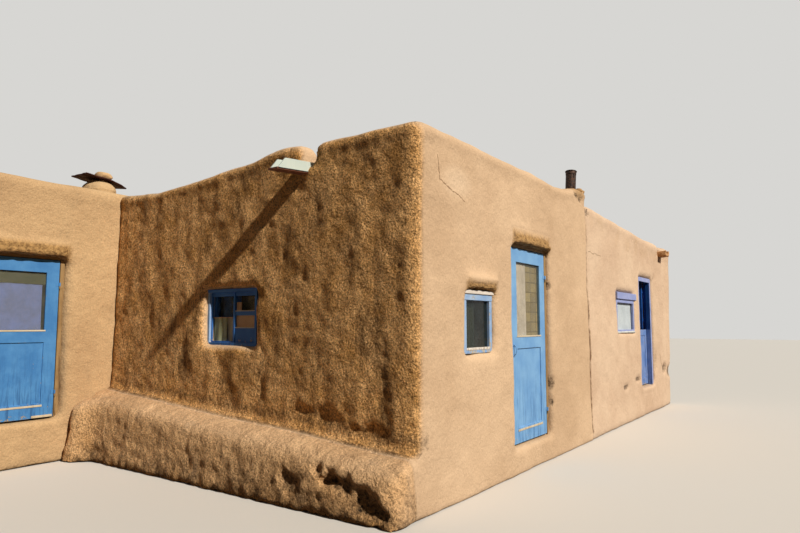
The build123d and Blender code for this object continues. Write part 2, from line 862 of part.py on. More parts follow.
def glazed_leaf(x0, width, foot, height, face_y):
    """A leaf of stiles and rails: a sunk panel below and an open light above."""
    glass_foot = foot + bottom_rail + (height - top_rail - middle_rail - bottom_rail) * lower_panel_share
    glass_foot = glass_foot + middle_rail
    light = (x0 + stile_width, x0 + width - stile_width, glass_foot, foot + height - top_rail)
    edge = glass_edge + glass_rebate_play
    panel_face = face_y + (leaf_thickness - leaf_panel_thickness) / 2
    with BuildPart() as leaf:
        block(x0, x0 + width, face_y, face_y + leaf_thickness, foot, foot + height)
        block(light[0], light[1], face_y - cut_spare, face_y + leaf_thickness + cut_spare,
              light[2], light[3], mode=Mode.SUBTRACT)
        block(light[0] - edge, light[1] + edge, face_y + leaf_thickness / 2,
              face_y + leaf_thickness + cut_spare, light[2] - edge, light[3] + edge, mode=Mode.SUBTRACT)
        for y0, y1 in (
            (face_y - cut_spare, panel_face),
            (panel_face + leaf_panel_thickness, face_y + leaf_thickness + cut_spare),
        ):
            block(light[0], light[1], y0, y1, foot + bottom_rail, light[2] - middle_rail,
                  mode=Mode.SUBTRACT)
        for z in hinge_levels(foot, height):
            add(leaf_hinge(x0 + width, face_y, True, z))
    with BuildPart() as pane:
        block(light[0] - glass_edge, light[1] + glass_edge, face_y + leaf_thickness / 2,
              face_y + leaf_thickness / 2 + glass_thickness, light[2] - glass_edge, light[3] + glass_edge)
    return leaf.part, pane.part


main_face = main_leaf_recess
left_face = rear_y + left_leaf_recess
with BuildPart() as main_door_frame:
    add(door_frame(main_leaf_left, main_leaf_width, main_leaf_foot, main_leaf_height,
                   main_face, main_floor_level, leaf_thickness, False))
    for z in hinge_levels(main_leaf_foot, main_leaf_height):
        add(frame_hinge(main_leaf_left + main_leaf_width, main_face, True, z))
main_door_frame.part.label = "main_door_frame"
export_step(main_door_frame.part, "parts/main_door_frame.step")

main_leaf_solid, main_pane = glazed_leaf(
    main_leaf_left, main_leaf_width, main_leaf_foot, main_leaf_height, main_face
)
with BuildPart() as main_door_leaf:
    add(main_leaf_solid)
main_door_leaf.part.label = "main_door_leaf"
export_step(main_door_leaf.part, "parts/main_door_leaf.step")
with BuildPart() as main_door_glass:
    add(main_pane)
main_door_glass.part.label = "main_door_glass"
export_step(main_door_glass.part, "parts/main_door_glass.step")

with BuildPart() as left_door_frame:
    add(door_frame(left_leaf_left, left_leaf_width, left_leaf_foot, left_leaf_height,
                   left_face, rear_floor_level, leaf_thickness, False))
    for z in hinge_levels(left_leaf_foot, left_leaf_height):
        add(frame_hinge(left_leaf_left + left_leaf_width, left_face, True, z))
left_door_frame.part.label = "left_door_frame"
export_step(left_door_frame.part, "parts/left_door_frame.step")

left_leaf_solid, left_pane = glazed_leaf(
    left_leaf_left, left_leaf_width, left_leaf_foot, left_leaf_height, left_face
)
with BuildPart() as left_door_leaf:
    add(left_leaf_solid)
left_door_leaf.part.label = "left_door_leaf"
export_step(left_door_leaf.part, "parts/left_door_leaf.step")
with BuildPart() as left_door_glass:
    add(left_pane)
left_door_glass.part.label = "left_door_glass"
export_step(left_door_glass.part, "parts/left_door_glass.step")

# Split door: the lower leaf is shut and the upper leaf stands open into the room
annex_back = annex_leaf_recess + frame_depth
annex_upper_foot = annex_leaf_foot + annex_lower_height + leaf_gap
annex_upper_height = annex_leaf_top - annex_upper_foot
with BuildPart() as annex_door_frame:
    add(door_frame(annex_leaf_left, annex_leaf_width, annex_leaf_foot, annex_leaf_height,
                   annex_leaf_recess, annex_floor_level, annex_leaf_thickness, True))
    for foot, height in ((annex_leaf_foot, annex_lower_height), (annex_upper_foot, annex_upper_height)):
        for z in split_hinges(foot, height):
            add(frame_hinge(annex_leaf_left + annex_leaf_width, annex_back, False, z))
annex_door_frame.part.label = "annex_door_frame"
export_step(annex_door_frame.part, "parts/annex_door_frame.step")


def split_leaf(foot, height):
    """One half of the split door: a leaf with one sunk panel on its outer face."""
    face_y = annex_back - annex_leaf_thickness
    x0 = annex_leaf_left
    x1 = annex_leaf_left + annex_leaf_width
    with BuildPart() as leaf:
        block(x0, x1, face_y, annex_back, foot, foot + height)
        block(x0 + split_border, x1 - split_border, face_y - cut_spare, face_y + split_sinking,
              foot + split_border, foot + height - split_border, mode=Mode.SUBTRACT)
        for z in split_hinges(foot, height):
            add(leaf_hinge(x1, annex_back, False, z))
    return leaf.part


annex_axis = Axis(
    spot(annex_leaf_left + annex_leaf_width + hinge_out, annex_back + knuckle_radius + knuckle_gap, 0),
    (0, 0, 1),
)
with BuildPart() as annex_lower_leaf:
    add(split_leaf(annex_leaf_foot, annex_lower_height))
annex_lower_leaf.part.label = "annex_lower_leaf"
export_step(annex_lower_leaf.part, "parts/annex_lower_leaf.step")
with BuildPart() as annex_upper_leaf:
    add(split_leaf(annex_upper_foot, annex_upper_height).rotate(annex_axis, -90))
annex_upper_leaf.part.label = "annex_upper_leaf"
export_step(annex_upper_leaf.part, "parts/annex_upper_leaf.step")


def window_parts(plane, inwards, window, mullion, board):
    """A window's frame and its pane, seated in a rebate from inside."""
    left, sill, width, height, recess = window
    middle = (left + width / 2, sill + height / 2)
    light = (width - 2 * window_bar, height - 2 * window_bar - board)
    light_middle = (middle[0], middle[1] - board / 2)
    edge = glass_edge + glass_rebate_play
    with BuildPart() as frame:
        with BuildSketch(plane.offset(inwards * recess)):
            with Locations(middle):
                Rectangle(width, height)
        extrude(amount=inwards * window_frame_depth)
        with BuildSketch(plane.offset(inwards * (recess - cut_spare))):
            with Locations(light_middle):
                Rectangle(*light)
        extrude(amount=inwards * (window_frame_depth + 2 * cut_spare), mode=Mode.SUBTRACT)
        with BuildSketch(plane.offset(inwards * (recess + window_frame_depth / 2))):
            with Locations(light_middle):
                Rectangle(light[0] + 2 * edge, light[1] + 2 * edge)
        extrude(amount=inwards * window_frame_depth, mode=Mode.SUBTRACT)
        if mullion:
            with BuildSketch(plane.offset(inwards * recess)):
                with Locations(light_middle):
                    Rectangle(mullion, light[1])
            extrude(amount=inwards * window_frame_depth / 2)
    with BuildPart() as pane:
        with BuildSketch(plane.offset(inwards * (recess + window_frame_depth / 2))):
            with Locations(light_middle):
                Rectangle(light[0] + 2 * glass_edge, light[1] + 2 * glass_edge)
        extrude(amount=inwards * glass_thickness)
    return frame.part, pane.part


small_parts = window_parts(front_plane(), -1, small_window, 0, 0)
side_parts = window_parts(side_plane(), 1, side_window, mullion_width, 0)
annex_parts = window_parts(front_plane(), -1, annex_window, 0, head_board_height)
with BuildPart() as small_window_frame:
    add(small_parts[0])
small_window_frame.part.label = "small_window_frame"
export_step(small_window_frame.part, "parts/small_window_frame.step")
with BuildPart() as small_window_glass:
    add(small_parts[1])
small_window_glass.part.label = "small_window_glass"
export_step(small_window_glass.part, "parts/small_window_glass.step")
with BuildPart() as side_window_frame:
    add(side_parts[0])
side_window_frame.part.label = "side_window_frame"
export_step(side_window_frame.part, "parts/side_window_frame.step")
with BuildPart() as side_window_glass:
    add(side_parts[1])
side_window_glass.part.label = "side_window_glass"
export_step(side_window_glass.part, "parts/side_window_glass.step")
with BuildPart() as annex_window_frame:
    add(annex_parts[0])
annex_window_frame.part.label = "annex_window_frame"
export_step(annex_window_frame.part, "parts/annex_window_frame.step")
with BuildPart() as annex_window_glass:
    add(annex_parts[1])
annex_window_glass.part.label = "annex_window_glass"
export_step(annex_window_glass.part, "parts/annex_window_glass.step")
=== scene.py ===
from math import cos, pi, radians, sin

import bmesh
import bpy
from mathutils import Matrix, Vector, noise


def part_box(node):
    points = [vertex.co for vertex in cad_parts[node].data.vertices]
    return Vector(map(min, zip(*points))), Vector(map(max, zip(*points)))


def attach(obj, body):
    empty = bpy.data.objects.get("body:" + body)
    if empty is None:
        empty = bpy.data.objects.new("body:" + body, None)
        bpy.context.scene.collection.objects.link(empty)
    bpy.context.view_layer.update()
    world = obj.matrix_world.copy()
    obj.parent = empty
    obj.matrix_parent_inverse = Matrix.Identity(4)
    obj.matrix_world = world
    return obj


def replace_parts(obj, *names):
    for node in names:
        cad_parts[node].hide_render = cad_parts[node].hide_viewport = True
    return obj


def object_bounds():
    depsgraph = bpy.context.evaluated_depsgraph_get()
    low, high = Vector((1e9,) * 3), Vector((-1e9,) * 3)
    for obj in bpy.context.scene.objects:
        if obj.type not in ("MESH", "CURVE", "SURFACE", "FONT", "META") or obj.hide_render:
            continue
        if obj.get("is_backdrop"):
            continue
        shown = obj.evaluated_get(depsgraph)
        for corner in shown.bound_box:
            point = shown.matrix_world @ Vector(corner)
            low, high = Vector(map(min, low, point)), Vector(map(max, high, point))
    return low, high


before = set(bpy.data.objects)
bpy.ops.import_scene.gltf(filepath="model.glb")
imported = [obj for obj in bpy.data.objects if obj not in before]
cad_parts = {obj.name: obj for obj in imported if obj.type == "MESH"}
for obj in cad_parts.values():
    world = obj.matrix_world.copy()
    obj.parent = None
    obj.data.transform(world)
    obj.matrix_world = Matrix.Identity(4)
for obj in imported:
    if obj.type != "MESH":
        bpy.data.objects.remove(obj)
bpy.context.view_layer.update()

# Where the camera stands: a standing eye's height in front of the near corner, looking
# 35 degrees off the sunny front and a little upwards, through a 28 mm lens on a 36 mm
# wide frame. The near corner's foot is where the main room's front and side meet.
near_corner = Vector((-2.7, -3.8, 0.0))
eye = near_corner + Vector((-3.941, -2.610, 1.45))
eye_turn = radians(35.24)
eye_tilt = radians(5.27)


def placed(name, data):
    """Adds an object of this data at the frame's origin."""
    made = bpy.data.objects.new(name, data)
    bpy.context.collection.objects.link(made)
    return made


camera_data = bpy.data.cameras.new("photo_camera")
camera_data.lens = 28.0
camera_data.sensor_width = 36.0
camera = placed("photo_camera", camera_data)
camera.location = eye
looking = Vector((cos(eye_turn) * cos(eye_tilt), sin(eye_turn) * cos(eye_tilt), sin(eye_tilt)))
camera.rotation_euler = looking.to_track_quat("-Z", "Y").to_euler()
bpy.context.scene.camera = camera
bpy.context.scene.view_settings.view_transform = "Standard"

# Daylight: a low sun from behind the camera's right that rakes along the shaded side, and
# a pale sky all round. Both are near white, so that a colour renders about as written.
sun_travel = Vector((0.126, 0.795, -0.593))
sky_bright_side = (0.94, 0.34, 0.0)


def rgb(text):
    """Turns an sRGB hex colour into the linear values that a shader takes."""
    parts = [int(text[i:i + 2], 16) / 255 for i in (1, 3, 5)]
    return tuple(c / 12.92 if c <= 0.04045 else ((c + 0.055) / 1.055) ** 2.4 for c in parts) + (1.0,)


def node(tree, kind, inputs=None, **settings):
    """Adds one node, sets its properties, and fills or links its inputs."""
    made = tree.nodes.new(kind)
    for name, value in settings.items():
        setattr(made, name, value)
    for name, value in (inputs or {}).items():
        if isinstance(value, bpy.types.NodeSocket):
            tree.links.new(value, made.inputs[name])
        else:
            made.inputs[name].default_value = value
    return made


def maths(tree, operation, first, second, clamp=False):
    """The result of two numbers."""
    return node(tree, "ShaderNodeMath", {0: first, 1: second}, operation=operation, use_clamp=clamp).outputs[0]


def vectors(tree, operation, first, second=None):
    """The result of two vectors: a number from a product or a length, or else a vector."""
    inputs = {0: first}
    if second is not None:
        inputs["Scale" if operation == "SCALE" else 1] = second
    outputs = node(tree, "ShaderNodeVectorMath", inputs, operation=operation).outputs
    return outputs["Value" if operation in ("DOT_PRODUCT", "LENGTH") else "Vector"]


def ramp(tree, value, low, high, to_low=0.0, to_high=1.0):
    """A value carried from one range to another and held at its ends."""
    return node(tree, "ShaderNodeMapRange", {
        "Value": value, "From Min": low, "From Max": high, "To Min": to_low, "To Max": to_high,
    }).outputs[0]


def seen_directly(tree):
    """1 for what the eye sees, in a mirror or through glass too, and 0 for scattered light."""
    path = node(tree, "ShaderNodeLightPath").outputs
    seen = maths(tree, "ADD", path["Is Camera Ray"], path["Is Glossy Ray"])
    return maths(tree, "ADD", seen, path["Is Transmission Ray"], clamp=True)


sun_data = bpy.data.lights.new("low_sun", "SUN")
sun_data.energy = 4.5
sun_data.angle = radians(1.6)
sun_data.color = (1.0, 0.96, 0.88)
sun = placed("low_sun", sun_data)
sun.rotation_euler = sun_travel.to_track_quat("-Z", "Y").to_euler()
world = bpy.data.worlds.new("pale_sky")
world.use_nodes = True
sky = world.node_tree
sky.nodes.clear()
sky_way = node(sky, "ShaderNodeTexCoord").outputs["Generated"]
sky_level = ramp(sky, vectors(sky, "DOT_PRODUCT", sky_way, sky_bright_side), 0.0, 0.9, 0.028, 0.70)
sky_light = node(sky, "ShaderNodeBackground", {"Color": (0.86, 0.93, 1.0, 1.0), "Strength": sky_level})
sky_seen = node(sky, "ShaderNodeBackground", {"Color": rgb("#D7D6D3"), "Strength": 1.0})
sky_mix = node(sky, "ShaderNodeMixShader", {
    "Fac": seen_directly(sky), 1: sky_light.outputs[0], 2: sky_seen.outputs[0],
})
node(sky, "ShaderNodeOutputWorld", {"Surface": sky_mix.outputs[0]})
bpy.context.scene.world = world

# The floor: a plain pale sheet that holds the shadow. What it throws back on the walls is
# the warm, dim light of dry ground.


def new_material(name):
    """A material whose node tree holds only the place of each spot in the frame."""
    made = bpy.data.materials.new(name)
    made.use_nodes = True
    tree = made.node_tree
    tree.nodes.clear()
    return made, tree, node(tree, "ShaderNodeTexCoord").outputs["Object"]


def mixed(tree, share, first, second):
    """A blend of two colours, each one a hex colour or another node's result."""
    ends = [rgb(end) if isinstance(end, str) else end for end in (first, second)]
    return node(tree, "ShaderNodeMix", {
        "Factor": share, "A": ends[0], "B": ends[1],
    }, data_type="RGBA").outputs["Result"]


def finish_material(tree, colour, roughness, settings, relief=None):
    """Ends a material. Its relief is a height with the strength and distance it works at."""
    inputs = {"Base Color": colour, "Roughness": roughness, **settings}
    if relief:
        inputs["Normal"] = node(
            tree, "ShaderNodeBump", dict(zip(("Height", "Strength", "Distance"), relief)),
        ).outputs[0]
    skin = node(tree, "ShaderNodeBsdfPrincipled", inputs)
    node(tree, "ShaderNodeOutputMaterial", {"Surface": skin.outputs[0]})


floor_paper, tree, place = new_material("floor_paper")
floor_tone = mixed(tree, seen_directly(tree), "#4E4034", "#D6D0C8")
finish_material(tree, floor_tone, 0.9, {"Specular IOR Level": 0.1})
floor_mesh = bpy.data.meshes.new("pale_floor")
shape = bmesh.new()
bmesh.ops.create_grid(shape, x_segments=1, y_segments=1, size=60.0)
shape.to_mesh(floor_mesh)
shape.free()
floor_mesh.materials.append(floor_paper)
placed("pale_floor", floor_mesh)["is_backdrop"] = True

# Plaster: clay mud with chopped straw, laid by hand over adobe bricks and renewed year by
# year. Sun and rain leave the front pale and smooth, and the shaded side brown and open,
# with its straw and stones standing out. Four marks in the mesh say how far each spot is
# coarse, of fresh dark mud on brows and mounds, damp or in painted shade, or pale where patched.
mud_marks = ("coarse", "fresh", "damp_and_shade", "patched")
grit_size = 0.011
hand_stroke = 0.11
coarse_pale = "#EAB67A"
coarse_deep = "#C08C50"
coarse_dark = "#4A3018"
brow_mud = "#B88E58"
brow_shadow = "#6E4F2B"
patch_mud = "#DDBF9E"
# Dark mud of damp places, also used as painted shade in hollows and under overhangs
damp_and_shade_mud = "#352A20"
crack_dark = "#6B4A2C"
crack_wander = 0.075


def clouds(tree, place, scale, detail, roughness, output="Fac"):
    """Soft noise over a place, at so many lumps a metre."""
    return node(tree, "ShaderNodeTexNoise", {
        "Vector": place, "Scale": scale, "Detail": detail, "Roughness": roughness,
    }).outputs[output]


def stretched(tree, place, scale):
    """A place squeezed by its own factor on each axis, for streaks and grain."""
    return node(tree, "ShaderNodeMapping", {"Vector": place, "Scale": scale}).outputs[0]


def distance_to_line(tree, place, start, end):
    """How far a spot is, seen along y, from a straight crack between two points."""
    run = end - start
    flat = vectors(tree, "MULTIPLY", vectors(tree, "SUBTRACT", place, start), (1, 0, 1))
    along = vectors(tree, "DOT_PRODUCT", flat, run / run.length_squared)
    share = node(tree, "ShaderNodeClamp", {"Value": along}).outputs[0]
    return vectors(tree, "LENGTH", vectors(tree, "SUBTRACT", flat, vectors(tree, "SCALE", run, share)))


def mud_plaster(name, pale, deep, cracks):
    """Sun-dried mud plaster: matt, gritty, with straw, hand strokes and rain streaks."""
    made, tree, place = new_material(name)
    coarse, fresh, damp_and_shade, patched = [
        node(tree, "ShaderNodeAttribute", attribute_name=mark).outputs["Fac"] for mark in mud_marks
    ]

    # Broad clouds of paler and deeper clay, from batch to batch of the mud
    smooth_mud = mixed(tree, ramp(tree, clouds(tree, place, 0.9, 4.0, 0.62), 0.36, 0.64), pale, deep)
    blotches = ramp(tree, clouds(tree, place, 3.6, 5.0, 0.68), 0.36, 0.66)
    open_mud = mixed(tree, blotches, coarse_pale, coarse_deep)

    # Dark runnels that rain has washed down the shaded side
    runs = clouds(tree, stretched(tree, place, (4.2, 4.2, 1.1)), 1.0, 5.0, 0.7)
    open_mud = mixed(tree, ramp(tree, runs, 0.55, 0.72, 0.0, 0.8), open_mud, coarse_dark)
    colour = mixed(tree, coarse, smooth_mud, open_mud)

    # Fresh mud on brows and mounds is darker, with deep shadow between its clods. Damp places,
    # and the painted shade of hollows and overhangs, are darker still, with a ragged rim.
    clods = clouds(tree, place, 26.0, 4.0, 0.7)
    between_clods = ramp(tree, clods, 0.42, 0.66)
    colour = mixed(tree, fresh, colour, mixed(tree, between_clods, brow_mud, brow_shadow))
    colour = mixed(tree, patched, colour, patch_mud)
    rim = ramp(tree, between_clods, 0.0, 1.0, -0.55, 0.05)
    colour = mixed(tree, maths(tree, "ADD", damp_and_shade, rim, clamp=True), colour, damp_and_shade_mud)

    # Grit and chopped straw, drawn at 11 mm because the finer grains of the real mud are
    # smaller than a pixel. They give the eye a speckled, dry surface with no sheen.
    grit = clouds(tree, place, 0.62 / grit_size, 3.0, 0.75)
    darkest = ramp(tree, coarse, 0.0, 1.0, 0.90, 0.30)
    palest = ramp(tree, coarse, 0.0, 1.0, 1.09, 1.80)
    colour = vectors(tree, "SCALE", colour, ramp(tree, grit, 0.32, 0.68, darkest, palest))

    # Cracks of the front: thin jagged dark lines
    wander = clouds(tree, place, 9.0, 5.0, 0.7, "Color")
    shift = vectors(tree, "SCALE", vectors(tree, "SUBTRACT", wander, (0.5, 0.5, 0.5)), crack_wander)
    jagged = vectors(tree, "ADD", place, shift)
    depth = node(tree, "ShaderNodeSeparateXYZ", {"Vector": place}).outputs["Y"]
    for width, start, end in cracks:
        line = ramp(tree, distance_to_line(tree, jagged, start, end), width, 0.3 * width)
        on_front = ramp(tree, depth, near_corner.y + 0.26, near_corner.y + 0.22)
        crack = maths(tree, "MULTIPLY", maths(tree, "MULTIPLY", line, on_front), 0.8)
        colour = mixed(tree, crack, colour, crack_dark)

    # Relief in metres: clods and furrows of the open side, soft strokes on the front
    lumps = clouds(tree, place, 1.0 / hand_stroke, 6.0, 0.66)
    lump_part = maths(tree, "MULTIPLY", lumps, ramp(tree, coarse, 0.0, 1.0, 0.018, 0.085))
    grit_part = maths(tree, "MULTIPLY", grit, ramp(tree, coarse, 0.0, 1.0, 0.0035, 0.020))
    clod_part = maths(tree, "MULTIPLY", maths(tree, "MULTIPLY", clods, fresh), 0.03)
    height = maths(tree, "ADD", maths(tree, "ADD", lump_part, grit_part), clod_part)
    finish_material(tree, colour, 0.96, {"Specular IOR Level": 0.12}, (height, 1.0, 1.0))
    return made


def spot(x, y, z):
    """A point measured, like the plan, from the foot of the near corner."""
    return near_corner + Vector((x, y, z))


def near_box(point, low, high, reach):
    """How near a spot is to a box: 1 inside it and 0 from the given reach outwards."""
    gap = Vector([max(low[i] - point[i], 0.0, point[i] - high[i]) for i in range(3)]).length
    return max(0.0, 1.0 - gap / reach)


# The rims of hollows are frayed by noise that takes a seed, set here so that each run of
# this script gives the same rims.
fray_seed = 1795786381
noise.seed_set(fray_seed)


def frayed(point):
    """The same spot shifted by coarse and fine noise, so that a hollow's rim is ragged."""
    return point + noise.noise_vector(point * 9.0) * 0.055 + noise.noise_vector(point * 27.0) * 0.016


def dent(point, centre, size):
    """A soft hollow: 1 at its centre and 0 at the rim of its ellipsoid."""
    away = Vector([(point[i] - centre[i]) / size[i] for i in range(3)]).length
    return max(0.0, 1.0 - away * away)


def soften(shape, verts, rounds):
    """Draws each spot towards its neighbours, so many times."""
    for turn in range(rounds):
        bmesh.ops.smooth_vert(
            shape, verts=verts, factor=0.5, use_axis_x=True, use_axis_y=True, use_axis_z=True,
        )


def one_mass(name, nodes, voxel, rounds, rolled=None):
    """The copied solids of a range as one continuous body with its corners worn soft."""
    shape = bmesh.new()
    for wall in nodes:
        shape.from_mesh(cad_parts[wall].data)
    bmesh.ops.remove_doubles(shape, verts=shape.verts, dist=0.0005)
    mesh = bpy.data.meshes.new(name)
    shape.to_mesh(mesh)
    shape.free()
    piece = placed(name, mesh)
    remesh = piece.modifiers.new("one_mass", "REMESH")
    remesh.mode = "VOXEL"
    remesh.voxel_size = voxel
    depsgraph = bpy.context.evaluated_depsgraph_get()
    whole = bpy.data.meshes.new_from_object(piece.evaluated_get(depsgraph))
    piece.modifiers.clear()
    piece.data = whole
    bpy.data.meshes.remove(mesh)
    whole.name = name
    shape = bmesh.new()
    shape.from_mesh(whole)
    soften(shape, shape.verts, rounds)
    if rolled:
        soften(shape, [vert for vert in shape.verts if rolled(vert.co)], 45)
    shape.normal_update()
    return piece, shape


# At each threshold, round the floor's level, the mud stays out of the leaf's way
floor_levels = {"main_door_leaf": 0.25, "left_door_leaf": 0.45, "annex_lower_leaf": 0.43}
thresholds = [(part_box(leaf), level) for leaf, level in floor_levels.items()]


def at_threshold(here):
    """Tells whether a spot lies in a doorway, near its floor."""
    return any(
        abs(here.z - level) < 0.06
        and low.x - 0.12 < here.x < high.x + 0.12 and low.y - 0.25 < here.y < high.y + 0.6
        for (low, high), level in thresholds
    )


def worn_by_hand(piece, shape, nodes, material, relief, marks):
    """Moves each spot of a mass by its relief, marks it and hangs it on the house."""
    layers = {mark: shape.verts.layers.float.new(mark) for mark in mud_marks}
    for vert in shape.verts:
        here = vert.co.copy()
        amounts = marks(here, vert.normal)
        for mark in mud_marks:
            vert[layers[mark]] = min(max(amounts.get(mark, 0.0), 0.0), 1.0)
        if not at_threshold(here):
            vert.co += vert.normal * relief(here, vert.normal, vert[layers["coarse"]])
        vert.co.z = max(vert.co.z, 0.0)
    for face in shape.faces:
        face.smooth = True
    shape.to_mesh(piece.data)
    shape.free()
    piece.data.materials.append(material)
    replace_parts(piece, *nodes)
    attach(piece, "house")


def hand_laid(here, normal):
    """Slow swells, the strokes of a hand, and the mud that crowns the parapets, in metres."""
    height = noise.noise(here * 1.3) * 0.016 + noise.noise(here * 5.0 + Vector((7, 3, 1))) * 0.006
    return height + (0.052 * max(0.0, normal.z) if here.z > 2.45 else 0.0)


# The main room's walls with the bench at their foot and the floor inside: one mass of
# adobe, from the joint at the right range round the near corner to the rear range.
main_nodes = ["front_wall_left", "front_wall_over_door", "front_wall_right", "side_wall", "main_floor", "bench"]
joint_crack = (0.030, spot(3.950, 0, 3.10), spot(3.955, 0, 0.10))
main_plaster = mud_plaster("straw_mud_plaster", "#D6B592", "#C5A482", [
    (0.007, spot(0.305, 0, 2.82), spot(0.334, 0, 2.64)), (0.006, spot(0.334, 0, 2.64), spot(0.75, 0, 2.51)),
    joint_crack,
])
main_brow = (spot(1.75, -0.06, 2.235), spot(2.66, 0.06, 2.37))
small_brow = (spot(0.78, -0.06, 1.735), spot(1.31, 0.06, 1.80))
side_reveal = (spot(0.01, 1.88, 1.25), spot(0.14, 2.60, 1.78))
pipe_mound = spot(3.735, 0.13, 3.12)
swelling = (spot(0.12, 1.60, 2.95), (0.4, 0.34, 0.18))
patch = (spot(0.62, 0.0, 2.66), (0.30, 0.3, 0.16))
bench_hollows = [
    (spot(-0.36, 0.64, 0.28), (0.16, 0.105, 0.10), 0.10), (spot(-0.36, 0.74, 0.42), (0.14, 0.045, 0.12), 0.06),
    (spot(-0.36, 0.50, 0.27), (0.15, 0.12, 0.11), 0.05), (spot(-0.36, 0.30, 0.17), (0.15, 0.16, 0.12), 0.07),
    (spot(-0.34, 0.14, 0.10), (0.14, 0.10, 0.09), 0.06), (spot(-0.36, 1.02, 0.22), (0.14, 0.14, 0.13), 0.05),
]
side_hollows = [
    (spot(0.0, 0.42, 1.42), (0.2, 0.09, 0.52), 0.008), (spot(0.0, 0.34, 0.80), (0.2, 0.08, 0.28), 0.010),
    (spot(0.0, 0.50, 0.60), (0.2, 0.20, 0.09), 0.026), (spot(0.0, 1.10, 0.68), (0.2, 0.34, 0.10), 0.026),
    (spot(0.0, 1.75, 0.95), (0.2, 0.11, 0.30), 0.014), (spot(0.0, 2.30, 0.86), (0.2, 0.20, 0.22), 0.012),
    (spot(0.0, 2.9, 1.05), (0.2, 0.12, 0.34), 0.018), (spot(0.0, 1.9, 1.72), (0.2, 0.22, 0.10), 0.020),
]
broken_spots = [
    (spot(2.672, 0.03, 1.87), (0.045, 0.10, 0.06)), (spot(2.680, 0.03, 0.80), (0.05, 0.10, 0.09)),
    (spot(2.684, 0.03, 0.60), (0.04, 0.10, 0.05)), (spot(3.60, 0.04, 3.05), (0.10, 0.10, 0.028)),
    (spot(3.76, 0.04, 3.02), (0.09, 0.10, 0.030)),
]


def deepest(point, hollows, strength):
    """How far a spot is inside the nearest of several hollows."""
    return max(strength * dent(point, centre, size) for centre, size, *rest in hollows)


def side_damp_and_shade(here, on_bench):
    """Dark mud of the shaded side: damp above the bench, painted shade in hollows and under overhangs."""
    foot_line = 0.50 + (here.y - near_corner.y) * 0.066
    damp_and_shade = 0.0
    if here.x > near_corner.x - 0.06:
        damp_and_shade = max(0.0, 0.75 - abs(here.z - foot_line - 0.05) / 0.16)
    ragged = frayed(here)
    # Painted shade in the hollows of the bench and the side
    damp_and_shade = max(damp_and_shade, deepest(ragged, bench_hollows, 1.5), deepest(ragged, side_hollows, 0.65))
    # Painted shadow under the bench's rolled edge, darker low down on its front
    if on_bench:
        overhang = 0.30 + 0.10 * noise.noise(here * 3.1) - here.z
        return max(damp_and_shade, min(0.6, overhang * 3.0) + 0.5 * noise.noise(here * 7.0))
    # Darker towards the far end of the side
    return max(damp_and_shade, 0.50 * min(1.0, max(0.0, (here.y - near_corner.y - 2.0) / 1.8)))


def main_marks(here, normal):
    """Coarse where it faces the shaded side, fresh on brows and mound, damp and painted shade below."""
    outside = here.x < near_corner.x + 0.16
    on_bench = here.x < near_corner.x - 0.06 and here.z < 0.95
    coarse = (-normal.x - 0.35) / 0.35 if outside else 0.0
    if on_bench:
        coarse = 0.34 + 0.50 * max(0.0, 0.75 - normal.z) * min(1.0, max(0.0, -normal.x) * 1.6)
    # The bench's top, where the sun falls, is left out of the painted shade of its front
    bench_top = on_bench and normal.z > 0.35
    damp_and_shade = side_damp_and_shade(here, on_bench) if outside and not bench_top else 0.0
    fresh = 0.9 * max(near_box(here, *main_brow, 0.05), near_box(here, *small_brow, 0.05))
    # Darker in the broken spots too
    return {
        "coarse": coarse, "damp_and_shade": max(damp_and_shade, deepest(here, broken_spots, 1.5)),
        "fresh": max(fresh, 0.7 * dent(here, pipe_mound, (0.26, 0.3, 0.12))), "patched": 0.8 * dent(here, *patch),
    }


def main_relief(here, normal, coarse):
    """Furrows on the shaded side, clods on the bench's front and the deep hollows there."""
    height = hand_laid(here, normal)
    if coarse > 0.2:
        furrow = noise.noise(Vector((here.x * 3.0, here.y * 5.5, here.z * 2.2)))
        clod_height = 0.020 if here.x < near_corner.x - 0.12 else 0.007
        height += coarse * (furrow * 0.012 + noise.noise(here * 13.0) * clod_height)
        ragged = frayed(here)
        for centre, size, depth in bench_hollows + side_hollows:
            height -= depth * dent(ragged, centre, size)
    over_door, over_window = near_box(here, *main_brow, 0.05), near_box(here, *small_brow, 0.05)
    upward = max(0.0, normal.z - 0.35) / 0.65
    height += 0.044 * upward * dent(here, *swelling)
    height -= 0.040 * over_window + 0.036 * over_door
    height += 0.034 * near_box(here, *side_reveal, 0.09) * (1.0 - abs(normal.x))
    if normal.z < -0.4:
        height += 0.030 * near_box(here, *main_brow, 0.08) + 0.016 * over_window
    for centre, size in broken_spots:
        height -= 0.018 * dent(here, centre, size)
    crag = over_door + over_window + dent(here, pipe_mound, (0.26, 0.3, 0.14))
    return height + crag * noise.noise(here * 17.0) * 0.014


def bench_edge(place):
    """The bench's rolled edge: the upper part of its front and the outer part of its top."""
    return place.x < near_corner.x - 0.17 and place.z > 0.14


main_walls, main_shape = one_mass("main_walls_plaster", main_nodes, 0.0290, 4, bench_edge)
worn_by_hand(main_walls, main_shape, main_nodes, main_plaster, main_relief, main_marks)

# The rear range: its front carries the left door under a roll of fresh mud, and its other
# sides are plain repeats of the same plaster.
rear_nodes = [
    "rear_front_wall_left", "rear_front_wall_over_door", "middle_wall", "rear_left_end_wall",
    "rear_right_end_wall", "rear_back_wall", "rear_floor",
]
rear_plaster = mud_plaster("straw_mud_plaster_rear", "#C4A37A", "#B79670", [])
left_brow = (spot(-1.43, 4.16, 2.15), spot(-0.52, 4.28, 2.28))


